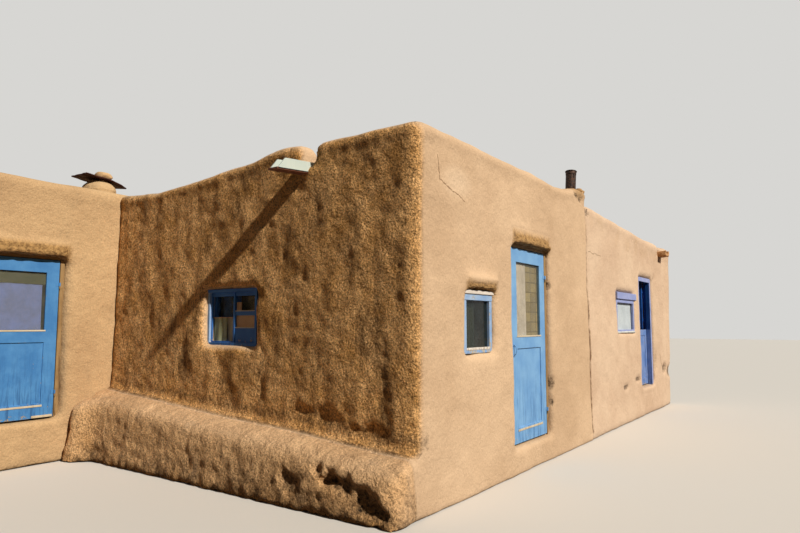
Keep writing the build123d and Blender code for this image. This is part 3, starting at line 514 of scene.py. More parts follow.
def rear_marks(here, normal):
    """Fresh mud on the brow over the left door, and a little damp along the foot."""
    outer = here.y < near_corner.y + 4.4
    damp_and_shade = max(0.0, 0.35 - abs(here.z - 0.50) / 0.3) if outer else 0.0
    return {"coarse": 0.10, "fresh": 0.9 * near_box(here, *left_brow, 0.05), "damp_and_shade": damp_and_shade}


def rear_relief(here, normal, coarse):
    """The hand's strokes, and the brow with its clods and its hanging underside."""
    crag = near_box(here, *left_brow, 0.05)
    hung = 0.024 * near_box(here, *left_brow, 0.08) if normal.z < -0.4 else 0.0
    return hand_laid(here, normal) + hung + crag * (noise.noise(here * 15.0) * 0.014 - 0.012)


rear_walls, rear_shape = one_mass("rear_walls_plaster", rear_nodes, 0.043, 3)
worn_by_hand(rear_walls, rear_shape, rear_nodes, rear_plaster, rear_relief, rear_marks)

# The right range with the party wall that it leans on. Its front is the palest mud, worn
# at the foot, and its end corner is broken near the ground.
annex_nodes = [
    "annex_front_wall_left", "annex_front_wall_over_door", "annex_front_wall_right",
    "annex_end_wall", "annex_back_wall", "party_wall", "annex_floor",
]
annex_plaster = mud_plaster("straw_mud_plaster_right", "#DBBD9F", "#CBAB8E", [
    (0.006, spot(4.02, 0, 2.38), spot(4.50, 0, 2.37)), joint_crack,
    (0.012, spot(7.32, 0, 1.02), spot(7.30, 0, 0.72)), (0.012, spot(7.62, 0, 0.92), spot(7.78, 0, 0.70)),
])
far_parapet = (spot(8.0, 0.2, 2.72), (1.1, 0.6, 0.5))
annex_scars = [
    (spot(7.34, 0.0, 0.80), (0.06, 0.12, 0.22), 0.05), (spot(7.95, 0.02, 0.66), (0.16, 0.12, 0.10), 0.06),
    (spot(8.28, 0.06, 0.60), (0.20, 0.20, 0.13), 0.035), (spot(6.20, 0.0, 0.60), (0.20, 0.12, 0.05), 0.03),
    (spot(5.50, 0.0, 0.53), (0.18, 0.12, 0.05), 0.03), (spot(7.40, 0.0, 2.25), (0.05, 0.1, 0.06), 0.03),
    (spot(4.02, 0.0, 2.90), (0.06, 0.1, 0.08), 0.03),
]


def annex_marks(here, normal):
    """Dark broken places along the foot, beside the door and under the parapet."""
    under_top = here.y < near_corner.y + 0.15 and here.z > 2.55
    fresh = 0.30 * max(0.0, noise.noise(here * 4.0)) if under_top else 0.0
    return {"fresh": fresh, "damp_and_shade": deepest(here, annex_scars, 1.3)}


def annex_relief(here, normal, coarse):
    """The hand's strokes with the broken places sunk in, and the thicker mud of the end."""
    height = hand_laid(here, normal)
    if here.x > near_corner.x + 8.0:
        height += 0.050 * here.z * min(1.0, max(0.0, (normal.x - 0.15) / 0.55))
    height += 0.055 * max(0.0, normal.z) * dent(here, *far_parapet)
    for centre, size, depth in annex_scars:
        height -= depth * dent(here, centre, size)
    return height


annex_walls, annex_shape = one_mass("annex_walls_plaster", annex_nodes, 0.0375, 3)
worn_by_hand(annex_walls, annex_shape, annex_nodes, annex_plaster, annex_relief, annex_marks)

# Roofs: packed earth on peeled logs, in one solid for each range. One material tells the
# logs below from the earth above by the height at which each roof's logs end.
log_tops = {"main_roof": 2.534, "rear_roof": 2.494, "annex_roof": 2.364}


def earth_on_logs(name, log_top):
    """Dry packed earth above a level and weathered peeled wood below it."""
    made, tree, place = new_material(name)
    level = node(tree, "ShaderNodeSeparateXYZ", {"Vector": place}).outputs["Z"]
    lumps = clouds(tree, place, 7.0, 6.0, 0.7)
    earth = mixed(tree, lumps, "#B4906A", "#8B6A48")
    wood = mixed(tree, clouds(tree, place, 45.0, 4.0, 0.6), "#8A7458", "#6A5438")
    colour = mixed(tree, maths(tree, "GREATER_THAN", level, log_top), wood, earth)
    finish_material(tree, colour, 0.95, {"Specular IOR Level": 0.15}, (lumps, 1.0, 0.03))
    return made


def dress_node(name, material):
    """Gives a kept solid its finish in place of the plain one."""
    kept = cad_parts[name]
    for material_slot in kept.material_slots:
        material_slot.material = material
    if not kept.material_slots:
        kept.data.materials.append(material)


for roof, log_top in log_tops.items():
    dress_node(roof, earth_on_logs(f"packed_earth_{roof}", log_top))

# Doors and their frames: softwood boards under many coats of chalky blue paint, brushed by
# hand. Sun fades the coats, rain streaks them, and feet and splashes wear the foot bare.
board_round = 0.0035
brush_width = 0.006
chip_size = 0.022
grey_wood = "#8C7A60"


def chalky_paint(name, coat, faded, streak, bare, foot, foot_reach, chipping):
    """Old matt paint with brush marks, rain streaks, and bare wood where it has worn off."""
    made, tree, place = new_material(name)
    edge = node(tree, "ShaderNodeAttribute", attribute_name="edge").outputs["Fac"]
    level = node(tree, "ShaderNodeSeparateXYZ", {"Vector": place}).outputs["Z"]
    coats = mixed(tree, ramp(tree, clouds(tree, place, 4.5, 5.0, 0.65), 0.38, 0.64), coat, faded)

    # Rain streaks run down the boards and thicken towards the foot
    runs = clouds(tree, stretched(tree, place, (34.0, 34.0, 2.6)), 1.0, 5.0, 0.72)
    low_down = ramp(tree, level, foot + foot_reach, foot, 0.04, 1.0)
    streaks = maths(tree, "MULTIPLY", ramp(tree, runs, 0.49, 0.62, 0.0, 0.95), low_down)

    # Chips to bare wood: some anywhere, more at the foot and along the boards' edges
    chips = clouds(tree, place, 0.5 / chip_size, 6.0, 0.72)
    at_foot = ramp(tree, level, foot + 0.16, foot, 0.0, 0.11)
    chance = maths(tree, "ADD", chips, maths(tree, "ADD", at_foot, maths(tree, "MULTIPLY", edge, 0.09)))
    chipped = ramp(tree, chance, 0.70 - chipping, 0.72 - chipping)
    grain = clouds(tree, stretched(tree, place, (0.5 / brush_width, 0.5 / brush_width, 5.0)), 1.0, 3.0, 0.6)
    colour = mixed(tree, chipped, mixed(tree, streaks, coats, streak), mixed(tree, grain, bare, grey_wood))
    height = maths(tree, "SUBTRACT", grain, chipped)
    matt = ramp(tree, chipped, 0.0, 1.0, 0.62, 0.9)
    finish_material(tree, colour, matt, {"Specular IOR Level": 0.3}, (height, 0.8, 0.0012))
    return made


def finish_piece(name, shape, material, body, smooth=False):
    """Turns a finished shape into a piece with its finish, riding on its body."""
    mesh = bpy.data.meshes.new(name)
    for face in shape.faces:
        face.smooth = smooth
    shape.to_mesh(mesh)
    shape.free()
    mesh.materials.append(material)
    piece = placed(name, mesh)
    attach(piece, body)
    return piece


def round_edges(shape, edges, size):
    """Takes the sharpness off some edges and gives back the faces that this makes."""
    return bmesh.ops.bevel(
        shape, geom=edges, offset=size, offset_type="OFFSET", segments=2, profile=0.5,
        affect="EDGES", clamp_overlap=True, material=-1,
    )["faces"]


def everything(shape):
    """All points, edges and faces of a shape, for a cut."""
    return shape.verts[:] + shape.edges[:] + shape.faces[:]


def worn_boards(name, solid, material, body):
    """A copy of a wooden solid whose long edges are worn round, marked as edges."""
    shape = bmesh.new()
    shape.from_mesh(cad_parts[solid].data)
    bmesh.ops.remove_doubles(shape, verts=shape.verts, dist=0.00005)
    bmesh.ops.dissolve_limit(shape, angle_limit=radians(1.0), verts=shape.verts, edges=shape.edges)
    long_edges = [
        edge for edge in shape.edges
        if edge.calc_length() > 0.06 and edge.is_manifold and edge.calc_face_angle(0.0) > radians(60)
    ]
    layer = shape.faces.layers.float.new("edge")
    for face in round_edges(shape, long_edges, board_round):
        face[layer] = 1.0
    piece = finish_piece(name, shape, material, body)
    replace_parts(piece, solid)
    return piece


# Each paint's coat, faded coat, streaks and bare wood, then the height of its foot, how far
# up the streaks thicken, and how readily it chips
main_blue = chalky_paint("sky_blue_chalky_paint", "#6A98C6", "#7CA8D0", "#43709F", "#BFAE92", 0.27, 0.85, 0.0)
left_blue = chalky_paint("deep_blue_chalky_paint", "#3C76AE", "#4E88BC", "#2A5686", "#B09C7C", 0.47, 0.75, 0.01)
split_blue = chalky_paint("violet_blue_chalky_paint", "#5E7CB4", "#7C90BC", "#3A5082", "#A9A096", 0.45, 0.9, 0.03)
# The upper leaf stands open in the shade: its navy is blue paint with painted shade
split_navy_painted_shade = chalky_paint("navy_paint_with_painted_shade", "#12428A", "#1D57A6", "#0C2A5A", "#8C8478", 1.36, 0.2, 0.0)
lintel_lilac = chalky_paint("lilac_chalky_paint", "#8892C0", "#9CA2C8", "#626E9E", "#B9AE9E", 0.45, 0.3, 0.04)
# The side window's blue is painted darker: painted shade
side_blue = chalky_paint("shaded_blue_chalky_paint", "#2F62A4", "#3D74B4", "#274C80", "#B7A283", 1.24, 0.1, 0.02)
pale_blue = chalky_paint("pale_blue_chalky_paint", "#7F9FC8", "#A2B6CE", "#6480AA", "#D2CABC", 1.19, 0.06, 0.09)
# The door frames are mud brown, darkened with painted shade so that they read as the shaded reveal
mud_smeared_and_shaded = chalky_paint("mud_wood_with_painted_shade", "#8E6F46", "#A08055", "#4E3620", "#6E5233", 0.25, 2.2, 0.0)
worn_boards("main_door_frame_boards", "main_door_frame", mud_smeared_and_shaded, "house")
worn_boards("main_door_leaf_boards", "main_door_leaf", main_blue, "main_leaf")
worn_boards("left_door_frame_boards", "left_door_frame", mud_smeared_and_shaded, "house")
worn_boards("left_door_leaf_boards", "left_door_leaf", left_blue, "left_leaf")
split_frame = worn_boards("split_door_frame_boards", "annex_door_frame", lintel_lilac, "house")
worn_boards("split_door_lower_boards", "annex_lower_leaf", split_blue, "split_lower_leaf")
worn_boards("split_door_upper_boards", "annex_upper_leaf", split_navy_painted_shade, "split_upper_leaf")
worn_boards("small_window_boards", "small_window_frame", pale_blue, "house")
worn_boards("side_window_boards", "side_window_frame", side_blue, "house")
worn_boards("annex_window_boards", "annex_window_frame", lintel_lilac, "house")

# The split door's frame is coloured with its leaves: violet-blue beside the lower one, navy
# (the blue with painted shade) beside the upper one, and lilac only on its face and lintel.
lintel_foot = 2.15
lower_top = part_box("annex_lower_leaf")[1].z
split_frame.data.materials.append(split_blue)
split_frame.data.materials.append(split_navy_painted_shade)
shape = bmesh.new()
shape.from_mesh(split_frame.data)
bmesh.ops.bisect_plane(shape, geom=everything(shape), plane_co=(0, 0, lower_top), plane_no=(0, 0, 1))
shape.normal_update()
for face in shape.faces:
    level = face.calc_center_median().z
    if face.normal.y > -0.7 and level < lintel_foot:
        face.material_index = 1 if level < lower_top else 2
shape.to_mesh(split_frame.data)
shape.free()


def box_between(shape, low, high):
    """Adds a box between two corners to a shape."""
    low, high = Vector(low), Vector(high)
    made = bmesh.ops.create_cube(shape, size=1.0)["verts"]
    bmesh.ops.scale(shape, vec=high - low, verts=made)
    bmesh.ops.translate(shape, vec=(low + high) / 2, verts=made)


def strip(name, low, high, material, body, slot, edge_round=0.002):
    """A planed strip of wood between two corners, with its edges taken off."""
    shape = bmesh.new()
    box_between(shape, low, high)
    round_edges(shape, shape.edges[:], edge_round)
    finish_piece(name, shape, material, body)


# Weather strips under the glass and the sunk panel of both glazed doors: planed wood that
# has lost its paint, so that it shows as a pale line. Each is nailed to the leaf's face.
leaf_thickness = 0.040
leaf_width = 0.850
stile_width = 0.118
strip_sunk = 0.004
white_pine = chalky_paint("whitened_pine", "#DDD2C6", "#CFC2B4", "#A89884", "#C9BBA8", 1.2, 0.5, 0.0)
bare_pine = chalky_paint("bare_pine", "#CFC0A6", "#C2AF92", "#A08A68", "#B5A384", 0.3, 0.5, 0.0)
leaf_marks = {
    "main": ("main_door_leaf", "main_leaf", "sky_blue_paint", 0.400, 1.322),
    "left": ("left_door_leaf", "left_leaf", "deep_blue_paint", 0.600, 1.377),
}
for side, (leaf, body, slot, panel_foot, light_foot) in leaf_marks.items():
    leaf_low, leaf_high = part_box(leaf)
    face_y = leaf_high.y - leaf_thickness
    left_x = leaf_low.x + stile_width
    right_x = leaf_low.x + leaf_width - stile_width
    strips = [
        ("panel", 0.006, left_x, right_x, panel_foot - 0.014, panel_foot + 0.006),
        ("light", 0.005, left_x, right_x, light_foot - 0.006, light_foot + 0.010),
    ]
    if side == "left":
        strips.append(("foot", 0.005, right_x - 0.10, right_x + 0.11, 0.474, 0.498))
    for edge, proud, start, end, foot, head in strips:
        strip(
            f"{side}_door_{edge}_strip", (start, face_y - proud, foot), (end, face_y + strip_sunk, head),
            bare_pine, body, slot,
        )

# Pull handles: a bent bar of blackened iron on two small plates, screwed to the stile
# away from the hinges. The main door's was painted over with its leaf.
handle_height = 0.10
handle_reach = 0.030
handle_radius = 0.006
plate_size = Vector((0.026, 0.004, 0.034))
handle_in = 0.045


def worn_iron(name, dark, rust):
    """Old iron, dull and nearly black, with brown rust in its hollows."""
    made, tree, place = new_material(name)
    spots = clouds(tree, place, 60.0, 5.0, 0.7)
    rusted = ramp(tree, spots, 0.45, 0.65)
    rough = ramp(tree, rusted, 0.0, 1.0, 0.45, 0.85)
    finish_material(tree, mixed(tree, rusted, dark, rust), rough, {"Metallic": 0.75}, (spots, 0.5, 0.001))
    return made


def turned(shape, verts, angle, axis):
    """Turns some points round an axis of the frame."""
    bmesh.ops.rotate(shape, verts=verts, cent=(0, 0, 0), matrix=Matrix.Rotation(angle, 3, axis))


def upright_ring(shape, segments, radius):
    """Adds an open circle that stands across y, the profile of a bar."""
    ring = bmesh.ops.create_circle(shape, segments=segments, radius=radius, cap_ends=False)["verts"]
    turned(shape, ring, pi / 2, "X")
    return ring


def close_holes(shape):
    """Fills every open rim."""
    bmesh.ops.holes_fill(shape, edges=[edge for edge in shape.edges if edge.is_boundary], sides=0)


def pull_handle(name, leaf, z, material, body):
    """A bar spun through half a turn, squashed to its reach, on a plate at each end."""
    leaf_low, leaf_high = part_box(leaf)
    centre = Vector((leaf_low.x + handle_in, leaf_high.y - leaf_thickness, z))
    shape = bmesh.new()
    ring = upright_ring(shape, 12, handle_radius)
    bmesh.ops.translate(shape, verts=ring, vec=centre + Vector((0, 0, handle_height / 2)))
    bmesh.ops.spin(
        shape, geom=shape.edges[:], cent=centre, axis=(1, 0, 0), angle=pi, steps=16, use_duplicate=False,
    )
    about = Matrix.Translation(-centre)
    squash = Matrix.Scale(handle_reach / (handle_height / 2), 4, Vector((0, 1, 0)))
    bmesh.ops.transform(shape, matrix=squash, space=about, verts=shape.verts)
    if min(vert.co.y for vert in shape.verts) > centre.y - 0.02:
        bmesh.ops.scale(shape, vec=(1, -1, 1), space=about, verts=shape.verts)
    close_holes(shape)
    for end in (-1, 1):
        middle = centre + Vector((0, -plate_size.y / 2, end * handle_height / 2))
        box_between(shape, middle - plate_size / 2, middle + plate_size / 2)
    bmesh.ops.recalc_face_normals(shape, faces=shape.faces)
    finish_piece(name, shape, material, body, smooth=True)


black_iron = worn_iron("blackened_iron", "#2B2725", "#4A3324")
pull_handle("main_door_handle", "main_door_leaf", 1.19, main_blue, "main_leaf")
pull_handle("left_door_handle", "left_door_leaf", 1.25, black_iron, "left_leaf")

# Glass: thin old panes with dust and dried rain on them. They let most light through, so
# that the cloths behind show, and mirror a little of the sky.


def dusty_glass(name, clear, tint, dust):
    """A thin pane whose dust shows as a faint grey film, thicker in blotches."""
    made, tree, place = new_material(name)
    film = ramp(tree, clouds(tree, place, 6.0, 6.0, 0.7), 0.38, 0.70, clear, clear + dust)
    finish_material(tree, rgb(tint), 0.12, {"IOR": 1.5, "Alpha": film})
    return made


door_glass = dusty_glass("dusty_window_glass", 0.10, "#8C8A7C", 0.12)
dark_glass = dusty_glass("dusty_dark_glass", 0.26, "#2C3432", 0.20)
clean_glass = dusty_glass("wiped_window_glass", 0.03, "#4A5A5A", 0.06)
panes = {
    "main_door_glass": door_glass, "left_door_glass": door_glass, "annex_window_glass": clean_glass,
    "small_window_glass": dark_glass, "side_window_glass": dark_glass,
}
for pane, glass in panes.items():
    dress_node(pane, glass)

# Curtains and cloths behind the glass: washed cotton, hung from the rail over each light.
# Each is a flat cut, gathered a little into folds that hang straight down.
cotton_thread = 0.0016
right_way = Vector((1, 0, 0))
back_way = Vector((0, 1, 0))


def washed_cotton(name, pale, deep, squares=None, square_width=1.0, square_height=1.0):
    """Thin washed cotton: soft folds, a faint weave, and woven squares where it has them."""
    made, tree, place = new_material(name)
    colour = mixed(tree, clouds(tree, place, 12.0, 4.0, 0.6), pale, deep)
    if squares:
        cells = stretched(tree, place, (1.0 / square_width, 1.0 / square_width, 1.0 / square_height))
        apart = node(tree, "ShaderNodeSeparateXYZ", {"Vector": cells}).outputs
        across = node(tree, "ShaderNodeCombineXYZ", {"X": apart["X"], "Y": apart["Z"]}).outputs[0]
        check = node(tree, "ShaderNodeTexBrick", {
            "Vector": across, "Color1": rgb(squares[0]), "Color2": rgb(squares[1]), "Mortar": rgb(squares[2]),
            "Scale": 1.0, "Mortar Size": 0.05, "Brick Width": 1.0, "Row Height": 1.0,
        }, offset=0.0)
        colour = mixed(tree, 0.75, colour, check.outputs["Color"])
    weave = clouds(tree, place, 0.5 / cotton_thread, 2.0, 0.5)
    softness = {"Specular IOR Level": 0.15, "Sheen Weight": 0.15}
    finish_material(tree, colour, 0.92, softness, (weave, 0.4, cotton_thread))
    return made


def hung_cloth(name, corner, along, width, drop, folds, fold_depth, material, body, slot, hangs_from):
    """A gathered cloth: a fine grid let down from a rail, waved into folds that grow."""
    shape = bmesh.new()
    made = bmesh.ops.create_grid(shape, x_segments=max(24, folds * 12), y_segments=16, size=0.5)["verts"]
    inward = Vector((-along.y, along.x, 0))
    for vert in made:
        share = vert.co.x + 0.5
        fall = 0.5 - vert.co.y
        depth = fold_depth * (0.55 + 0.45 * fall)
        wave = sin(share * folds * 2 * pi + 0.7 * sin(3.1 * share + 2.0 * fall)) * depth
        sway = 0.004 * sin(2.3 * fall + 5.0 * share)
        drawn = along * (share * width + sway * fall) + inward * wave
        vert.co = Vector(corner) + drawn + Vector((0, 0, -drop * fall))
    bmesh.ops.recalc_face_normals(shape, faces=shape.faces)
    area = sum(face.calc_area() for face in shape.faces)
    piece = finish_piece(name, shape, material, body, smooth=True)


beige_cotton = washed_cotton("beige_washed_cotton", "#DCCDB8", "#C3B29A")
squares = ("#B09C68", "#7E6C46", "#5C4C30")
olive_check = washed_cotton("olive_squared_cotton", "#9A8458", "#86714A", squares, 0.13, 0.105)
lilac_cotton = washed_cotton("lilac_blue_cotton", "#7A86B6", "#6878A6")
olive_cotton = washed_cotton("dark_olive_cotton", "#54553A", "#3C3F2C")
green_cotton = washed_cotton("grey_green_cotton", "#C4C49C", "#92925E")
white_cotton = washed_cotton("white_washed_cotton", "#D6DBDC", "#BCC4C8")
grey_cotton = washed_cotton("pale_grey_cotton", "#CCC2AA", "#A29A80")

# The main door's light: a plain curtain over its left half and a squared one on its right
low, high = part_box("main_door_glass")
on_main_leaf = ("main_leaf", "sky_blue_paint", "main_door_leaf_boards")
back, top = high.y + 0.006, high.z - 0.004
drop, half = top - low.z - 0.004, (high.x - low.x) / 2
hung_cloth(
    "main_door_curtain", (low.x + 0.004, back, top), right_way, half * 0.94, drop,
    4, 0.003, beige_cotton, *on_main_leaf,
)
hung_cloth(
    "main_door_squared_cloth", (low.x + half * 0.92, back + 0.006, top), right_way, half * 1.06, drop,
    2, 0.002, olive_check, *on_main_leaf,
)

# The left door's light: a short valance before two lilac-blue curtains
low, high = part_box("left_door_glass")
on_left_leaf = ("left_leaf", "deep_blue_paint", "left_door_leaf_boards")
start, back, top = low.x + 0.004, high.y + 0.004, high.z - 0.004
width = high.x - low.x - 0.008
hung_cloth(
    "left_door_valance", (start, back, top), right_way, width, 0.13, 3, 0.002, olive_cotton, *on_left_leaf,
)
hung_cloth(
    "left_door_curtain_left", (start, back + 0.004, top - 0.05), right_way, width * 0.66, 0.56,
    3, 0.003, lilac_cotton, *on_left_leaf,
)
hung_cloth(
    "left_door_curtain_right", (start + width * 0.65, back + 0.008, top - 0.05), right_way, width * 0.30, 0.56,
    2, 0.003, lilac_cotton, *on_left_leaf,
)

# One cloth each for the right range's window and the small window
annex_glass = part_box("annex_window_glass")
low, high = annex_glass
hung_cloth(
    "annex_window_cloth", (low.x + 0.006, high.y + 0.008, high.z - 0.004), right_way,
    high.x - low.x - 0.018, high.z - low.z - 0.008,
    3, 0.002, white_cotton, "house", "violet_blue_paint", "annex_window_boards",
)
small_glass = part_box("small_window_glass")
low, high = small_glass
hung_cloth(
    "small_window_curtain", (low.x - 0.01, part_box("small_window_frame")[1].y + 0.014, high.z + 0.01), right_way,
    0.28, high.z - low.z + 0.02, 3, 0.006, olive_cotton, "house", "pale_blue_paint", "small_window_boards",
)

# The side window is lined outwards, nearly to the wall's face: thin blue boards let into
# the mud at both jambs, the head and the sill, and a deeper board on the middle post.
board = 0.018
post_half = 0.011
low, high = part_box("side_window_frame")
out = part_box("side_window_glass")[0].x - 0.130
back = low.x + 0.002
post_y = (low.y + high.y) / 2 - 0.010
near_light = (low.y + board, post_y - post_half)
far_light = (post_y + post_half, high.y - board)
sash_foot, sash_head = low.z + board, high.z - board
lining_boards = {
    "near_jamb": ((out + 0.016, low.y - 0.010, low.z), (back, near_light[0], high.z)),
    "far_jamb": ((out + 0.034, far_light[1], low.z), (back, high.y + 0.014, high.z)),
    "head": ((out + 0.022, low.y, sash_head), (back, high.y, high.z + 0.012)),
    "sill": ((out + 0.036, low.y, low.z - 0.012), (back, high.y, sash_foot)),
    "post": ((out + 0.050, near_light[1], sash_foot), (back, far_light[0], sash_head)),
}
for name, corners in lining_boards.items():
    # The far jamb, where the sun falls, takes the paler blue as painted sunlight; the darker blue of the rest is
    # painted shade
    coat = pale_blue if name == "far_jamb" else side_blue
    strip(f"side_window_{name}_board", *corners, coat, "house", "deep_blue_paint")

# Within the lining an outer sash stands before the frame: narrow rails and stiles, wiped
# glass, and in the nearer light a middle rail and a deep foot rail with pale worn edges.
sash_out = out + 0.058
sash_in = sash_out + board
head_rail = sash_head - 0.040
foot_rail = sash_foot + 0.014
deep_rail = low.z + 0.160
middle_rail = (low.z + 0.282, low.z + 0.322)
sash_rails = {
    "far_head_rail": (*far_light, head_rail, sash_head),
    "near_head_rail": (*near_light, head_rail, sash_head),
    "far_foot_rail": (*far_light, sash_foot, foot_rail),
    "near_foot_rail": (*near_light, sash_foot, deep_rail),
    "near_middle_rail": (*near_light, *middle_rail),
    "far_stile": (far_light[1] - 0.012, far_light[1], foot_rail, head_rail),
    "near_stile": (near_light[0], near_light[0] + 0.014, deep_rail, head_rail),
}
for rail, (near, far, foot, head) in sash_rails.items():
    strip(
        f"side_window_{rail}", (sash_out, near, foot), (sash_in, far, head), side_blue, "house", "deep_blue_paint",
    )
for edge, foot in (("middle", middle_rail[1]), ("foot", deep_rail)):
    strip(
        f"side_window_{edge}_worn_edge", (sash_out - 0.003, near_light[0], foot),
        (sash_out + 0.010, near_light[1], foot + 0.008), white_pine, "house", "pale_blue_paint", 0.001,
    )
for light, (near, far) in (("near", near_light), ("far", far_light)):
    strip(
        f"side_window_{light}_pane", (sash_out + 0.007, near, sash_foot), (sash_out + 0.010, far, sash_head),
        clean_glass, "house", "window_glass", 0.0005,
    )

# Behind the wiped glass: a brown board and batten in the nearer light, which stand for a painted
# reflection of the ground and post, and two short cloths on a rod in the farther one. The cloths keep the sun off
# the room.
behind = sash_out + 0.013
rod_height = low.z + 0.258
brown_board_and_painted_reflection = chalky_paint("raw_board_and_painted_reflection", "#D8A878", "#E0B488", "#A07850", "#C89868", 0.3, 0.5, 0.0)
brown_pieces = {
    "brown_board_and_painted_reflection": (behind, near_light[0], near_light[1] - 0.004, deep_rail, middle_rail[0]),
    "painted_reflection_batten": (behind, near_light[1] - 0.070, near_light[1] - 0.004, middle_rail[0], sash_head - 0.100),
    "cloth_rod": (behind + 0.002, *far_light, rod_height, rod_height + 0.008),
}
for name, (front, near, far, foot, head) in brown_pieces.items():
    strip(
        f"side_window_{name}", (front, near, foot), (front + 0.008, far, head),
        brown_board_and_painted_reflection, "house", "deep_blue_paint", 0.001,
    )
on_rod = ("house", "deep_blue_paint", "side_window_cloth_rod")
cloth_drop = rod_height - sash_foot - 0.006
hung_cloth(
    "side_window_green_cloth", (behind + 0.008, far_light[0] + 0.115, rod_height), back_way,
    0.200, cloth_drop, 2, 0.007, green_cotton, *on_rod,
)
hung_cloth(
    "side_window_grey_cloth", (behind + 0.010, far_light[0] + 0.020, rod_height), back_way,
    0.095, cloth_drop, 1, 0.007, grey_cotton, *on_rod,
)

# Spout of the shaded side: three nailed boards with old pale green paint outside and
# in the trough, bare beneath, where its board is dark with painted shade. Its outer end is sawn back at the top.
spout_fall = radians(5.0)
spout_foot = spot(0, 1.25, 2.782)
spout_reach = 0.345
spout_inner = 0.33
spout_board = 0.018
spout_half = 0.055
spout_height = 0.105
pale_green = chalky_paint("pale_green_chalky_paint", "#C0CAC0", "#CCD2C6", "#A4A896", "#C8B08A", 2.55, 0.2, 0.03)
# The bottom board: bare pine, darkened with painted shade
dark_pine = chalky_paint("bare_pine_with_painted_shade", "#6A4030", "#7E4E38", "#38211A", "#8A6A50", 2.70, 0.2, 0.0)
spout_boards = {
    "bottom": (-spout_half, spout_half, 0.0, spout_board, dark_pine),
    "near": (-spout_half, -spout_half + spout_board, 0.004, spout_height, pale_green),
    "far": (spout_half - spout_board, spout_half, 0.004, spout_height, pale_green),
}
for side, (near, far, foot, head, material) in spout_boards.items():
    shape = bmesh.new()
    box_between(shape, (-spout_reach, near, foot), (spout_inner, far, head))
    if side != "bottom":
        bmesh.ops.bisect_plane(
            shape, geom=everything(shape), plane_co=(-spout_reach, 0, 0),
            plane_no=Vector((-1, 0, 1)).normalized(), clear_outer=True,
        )
        close_holes(shape)
    round_edges(shape, shape.edges[:], 0.002)
    slope = Matrix.Translation(spout_foot) @ Matrix.Rotation(-spout_fall, 4, "Y")
    bmesh.ops.transform(shape, matrix=slope, verts=shape.verts)
    bmesh.ops.recalc_face_normals(shape, faces=shape.faces)
    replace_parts(finish_piece(f"side_canale_{side}_board", shape, material, "house"), "side_canale")

# Chimney of the left range: a stub of mud laid by hand round the smoke hole, a thin
# rusted sheet laid over it and bent down by its own weight, and a stone that holds it.
stub_low, stub_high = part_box("chimney_flue")
stub_centre = (stub_low + stub_high) / 2
stub_top = stub_high.z
sheet_half = (0.255, 0.170)
sheet_gauge = 0.012
sheet_rise = 0.040
sheet_droop = 0.052


def stub_marks(here, normal):
    """Plain mud, a little fresher where the stub meets the wall."""
    return {"fresh": 0.25 if here.z < stub_top - 0.12 else 0.0}


def stub_relief(here, normal, coarse):
    """Small swells of the hand."""
    return noise.noise(here * 9.0) * 0.008 + noise.noise(here * 21.0) * 0.003


chimney_stub, stub_shape = one_mass("chimney_mud_stub", ["chimney_flue"], 0.0135, 14)
worn_by_hand(chimney_stub, stub_shape, ["chimney_flue"], rear_plaster, stub_relief, stub_marks)

rusted_sheet = worn_iron("rusted_sheet_steel", "#3A2220", "#5A3024")
shape = bmesh.new()
bmesh.ops.create_grid(shape, x_segments=28, y_segments=18, size=1.0)
for vert in shape.verts:
    across, ahead = vert.co.x, vert.co.y
    ragged = 1.0 + 0.05 * noise.noise(Vector((across * 3.0, ahead * 3.0, 4.0)))
    lift = sheet_rise * max(0.0, -across) ** 1.5 * (0.65 + 0.35 * ahead)
    fall = sheet_droop * max(0.0, across) ** 1.7 * (1.0 - 0.25 * ahead)
    sag = 0.012 * across * ahead + 0.006 * noise.noise(Vector((across * 2.0, ahead * 2.0, 1.0)))
    vert.co = Vector((across * sheet_half[0] * ragged, ahead * sheet_half[1] * ragged, lift - fall + sag))
bmesh.ops.translate(shape, vec=(stub_centre.x, stub_centre.y, stub_top + 0.006), verts=shape.verts)
bmesh.ops.recalc_face_normals(shape, faces=shape.faces)
bmesh.ops.solidify(shape, geom=shape.faces[:], thickness=sheet_gauge)
bmesh.ops.recalc_face_normals(shape, faces=shape.faces)
chimney_sheet = finish_piece("chimney_rusted_sheet", shape, rusted_sheet, "house", smooth=True)
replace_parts(chimney_sheet, "chimney_cap")


def sandstone(name, pale, deep):
    """Rough field stone: matt, softly mottled, with a sandy grain."""
    made, tree, place = new_material(name)
    mottle = clouds(tree, place, 14.0, 6.0, 0.7)
    colour = mixed(tree, mottle, pale, deep)
    finish_material(tree, colour, 0.9, {"Specular IOR Level": 0.2}, (mottle, 1.0, 0.008))
    return made


def field_stone(shape, centre, size, seed):
    """Adds one stone: a ball pulled to its three sizes and knocked out of true."""
    ball = bmesh.ops.create_icosphere(shape, subdivisions=3, radius=0.5)["verts"]
    for vert in ball:
        knock = 1.0 + 0.24 * noise.noise(vert.co * 2.6 + Vector((seed, 2.0 * seed, 5.0)))
        vert.co = Vector([vert.co[i] * size[i] * knock + centre[i] for i in range(3)])


pale_stone = sandstone("pale_sandstone", "#D9B488", "#B99467")
shape = bmesh.new()
stone_low, stone_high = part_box("chimney_stone")
stone_middle = (stone_low + stone_high) / 2
field_stone(shape, stone_middle + Vector((0, 0, -0.016)), (0.21, 0.15, 0.095), 3.0)
bmesh.ops.bisect_plane(
    shape, geom=everything(shape), plane_co=stone_middle + Vector((-0.062, 0, 0)),
    plane_no=Vector((-1, -0.25, 0.15)).normalized(), clear_outer=True,
)
close_holes(shape)
bmesh.ops.recalc_face_normals(shape, faces=shape.faces)
weight_stone = finish_piece("chimney_weight_stone", shape, pale_stone, "house", smooth=True)
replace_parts(weight_stone, "chimney_stone")

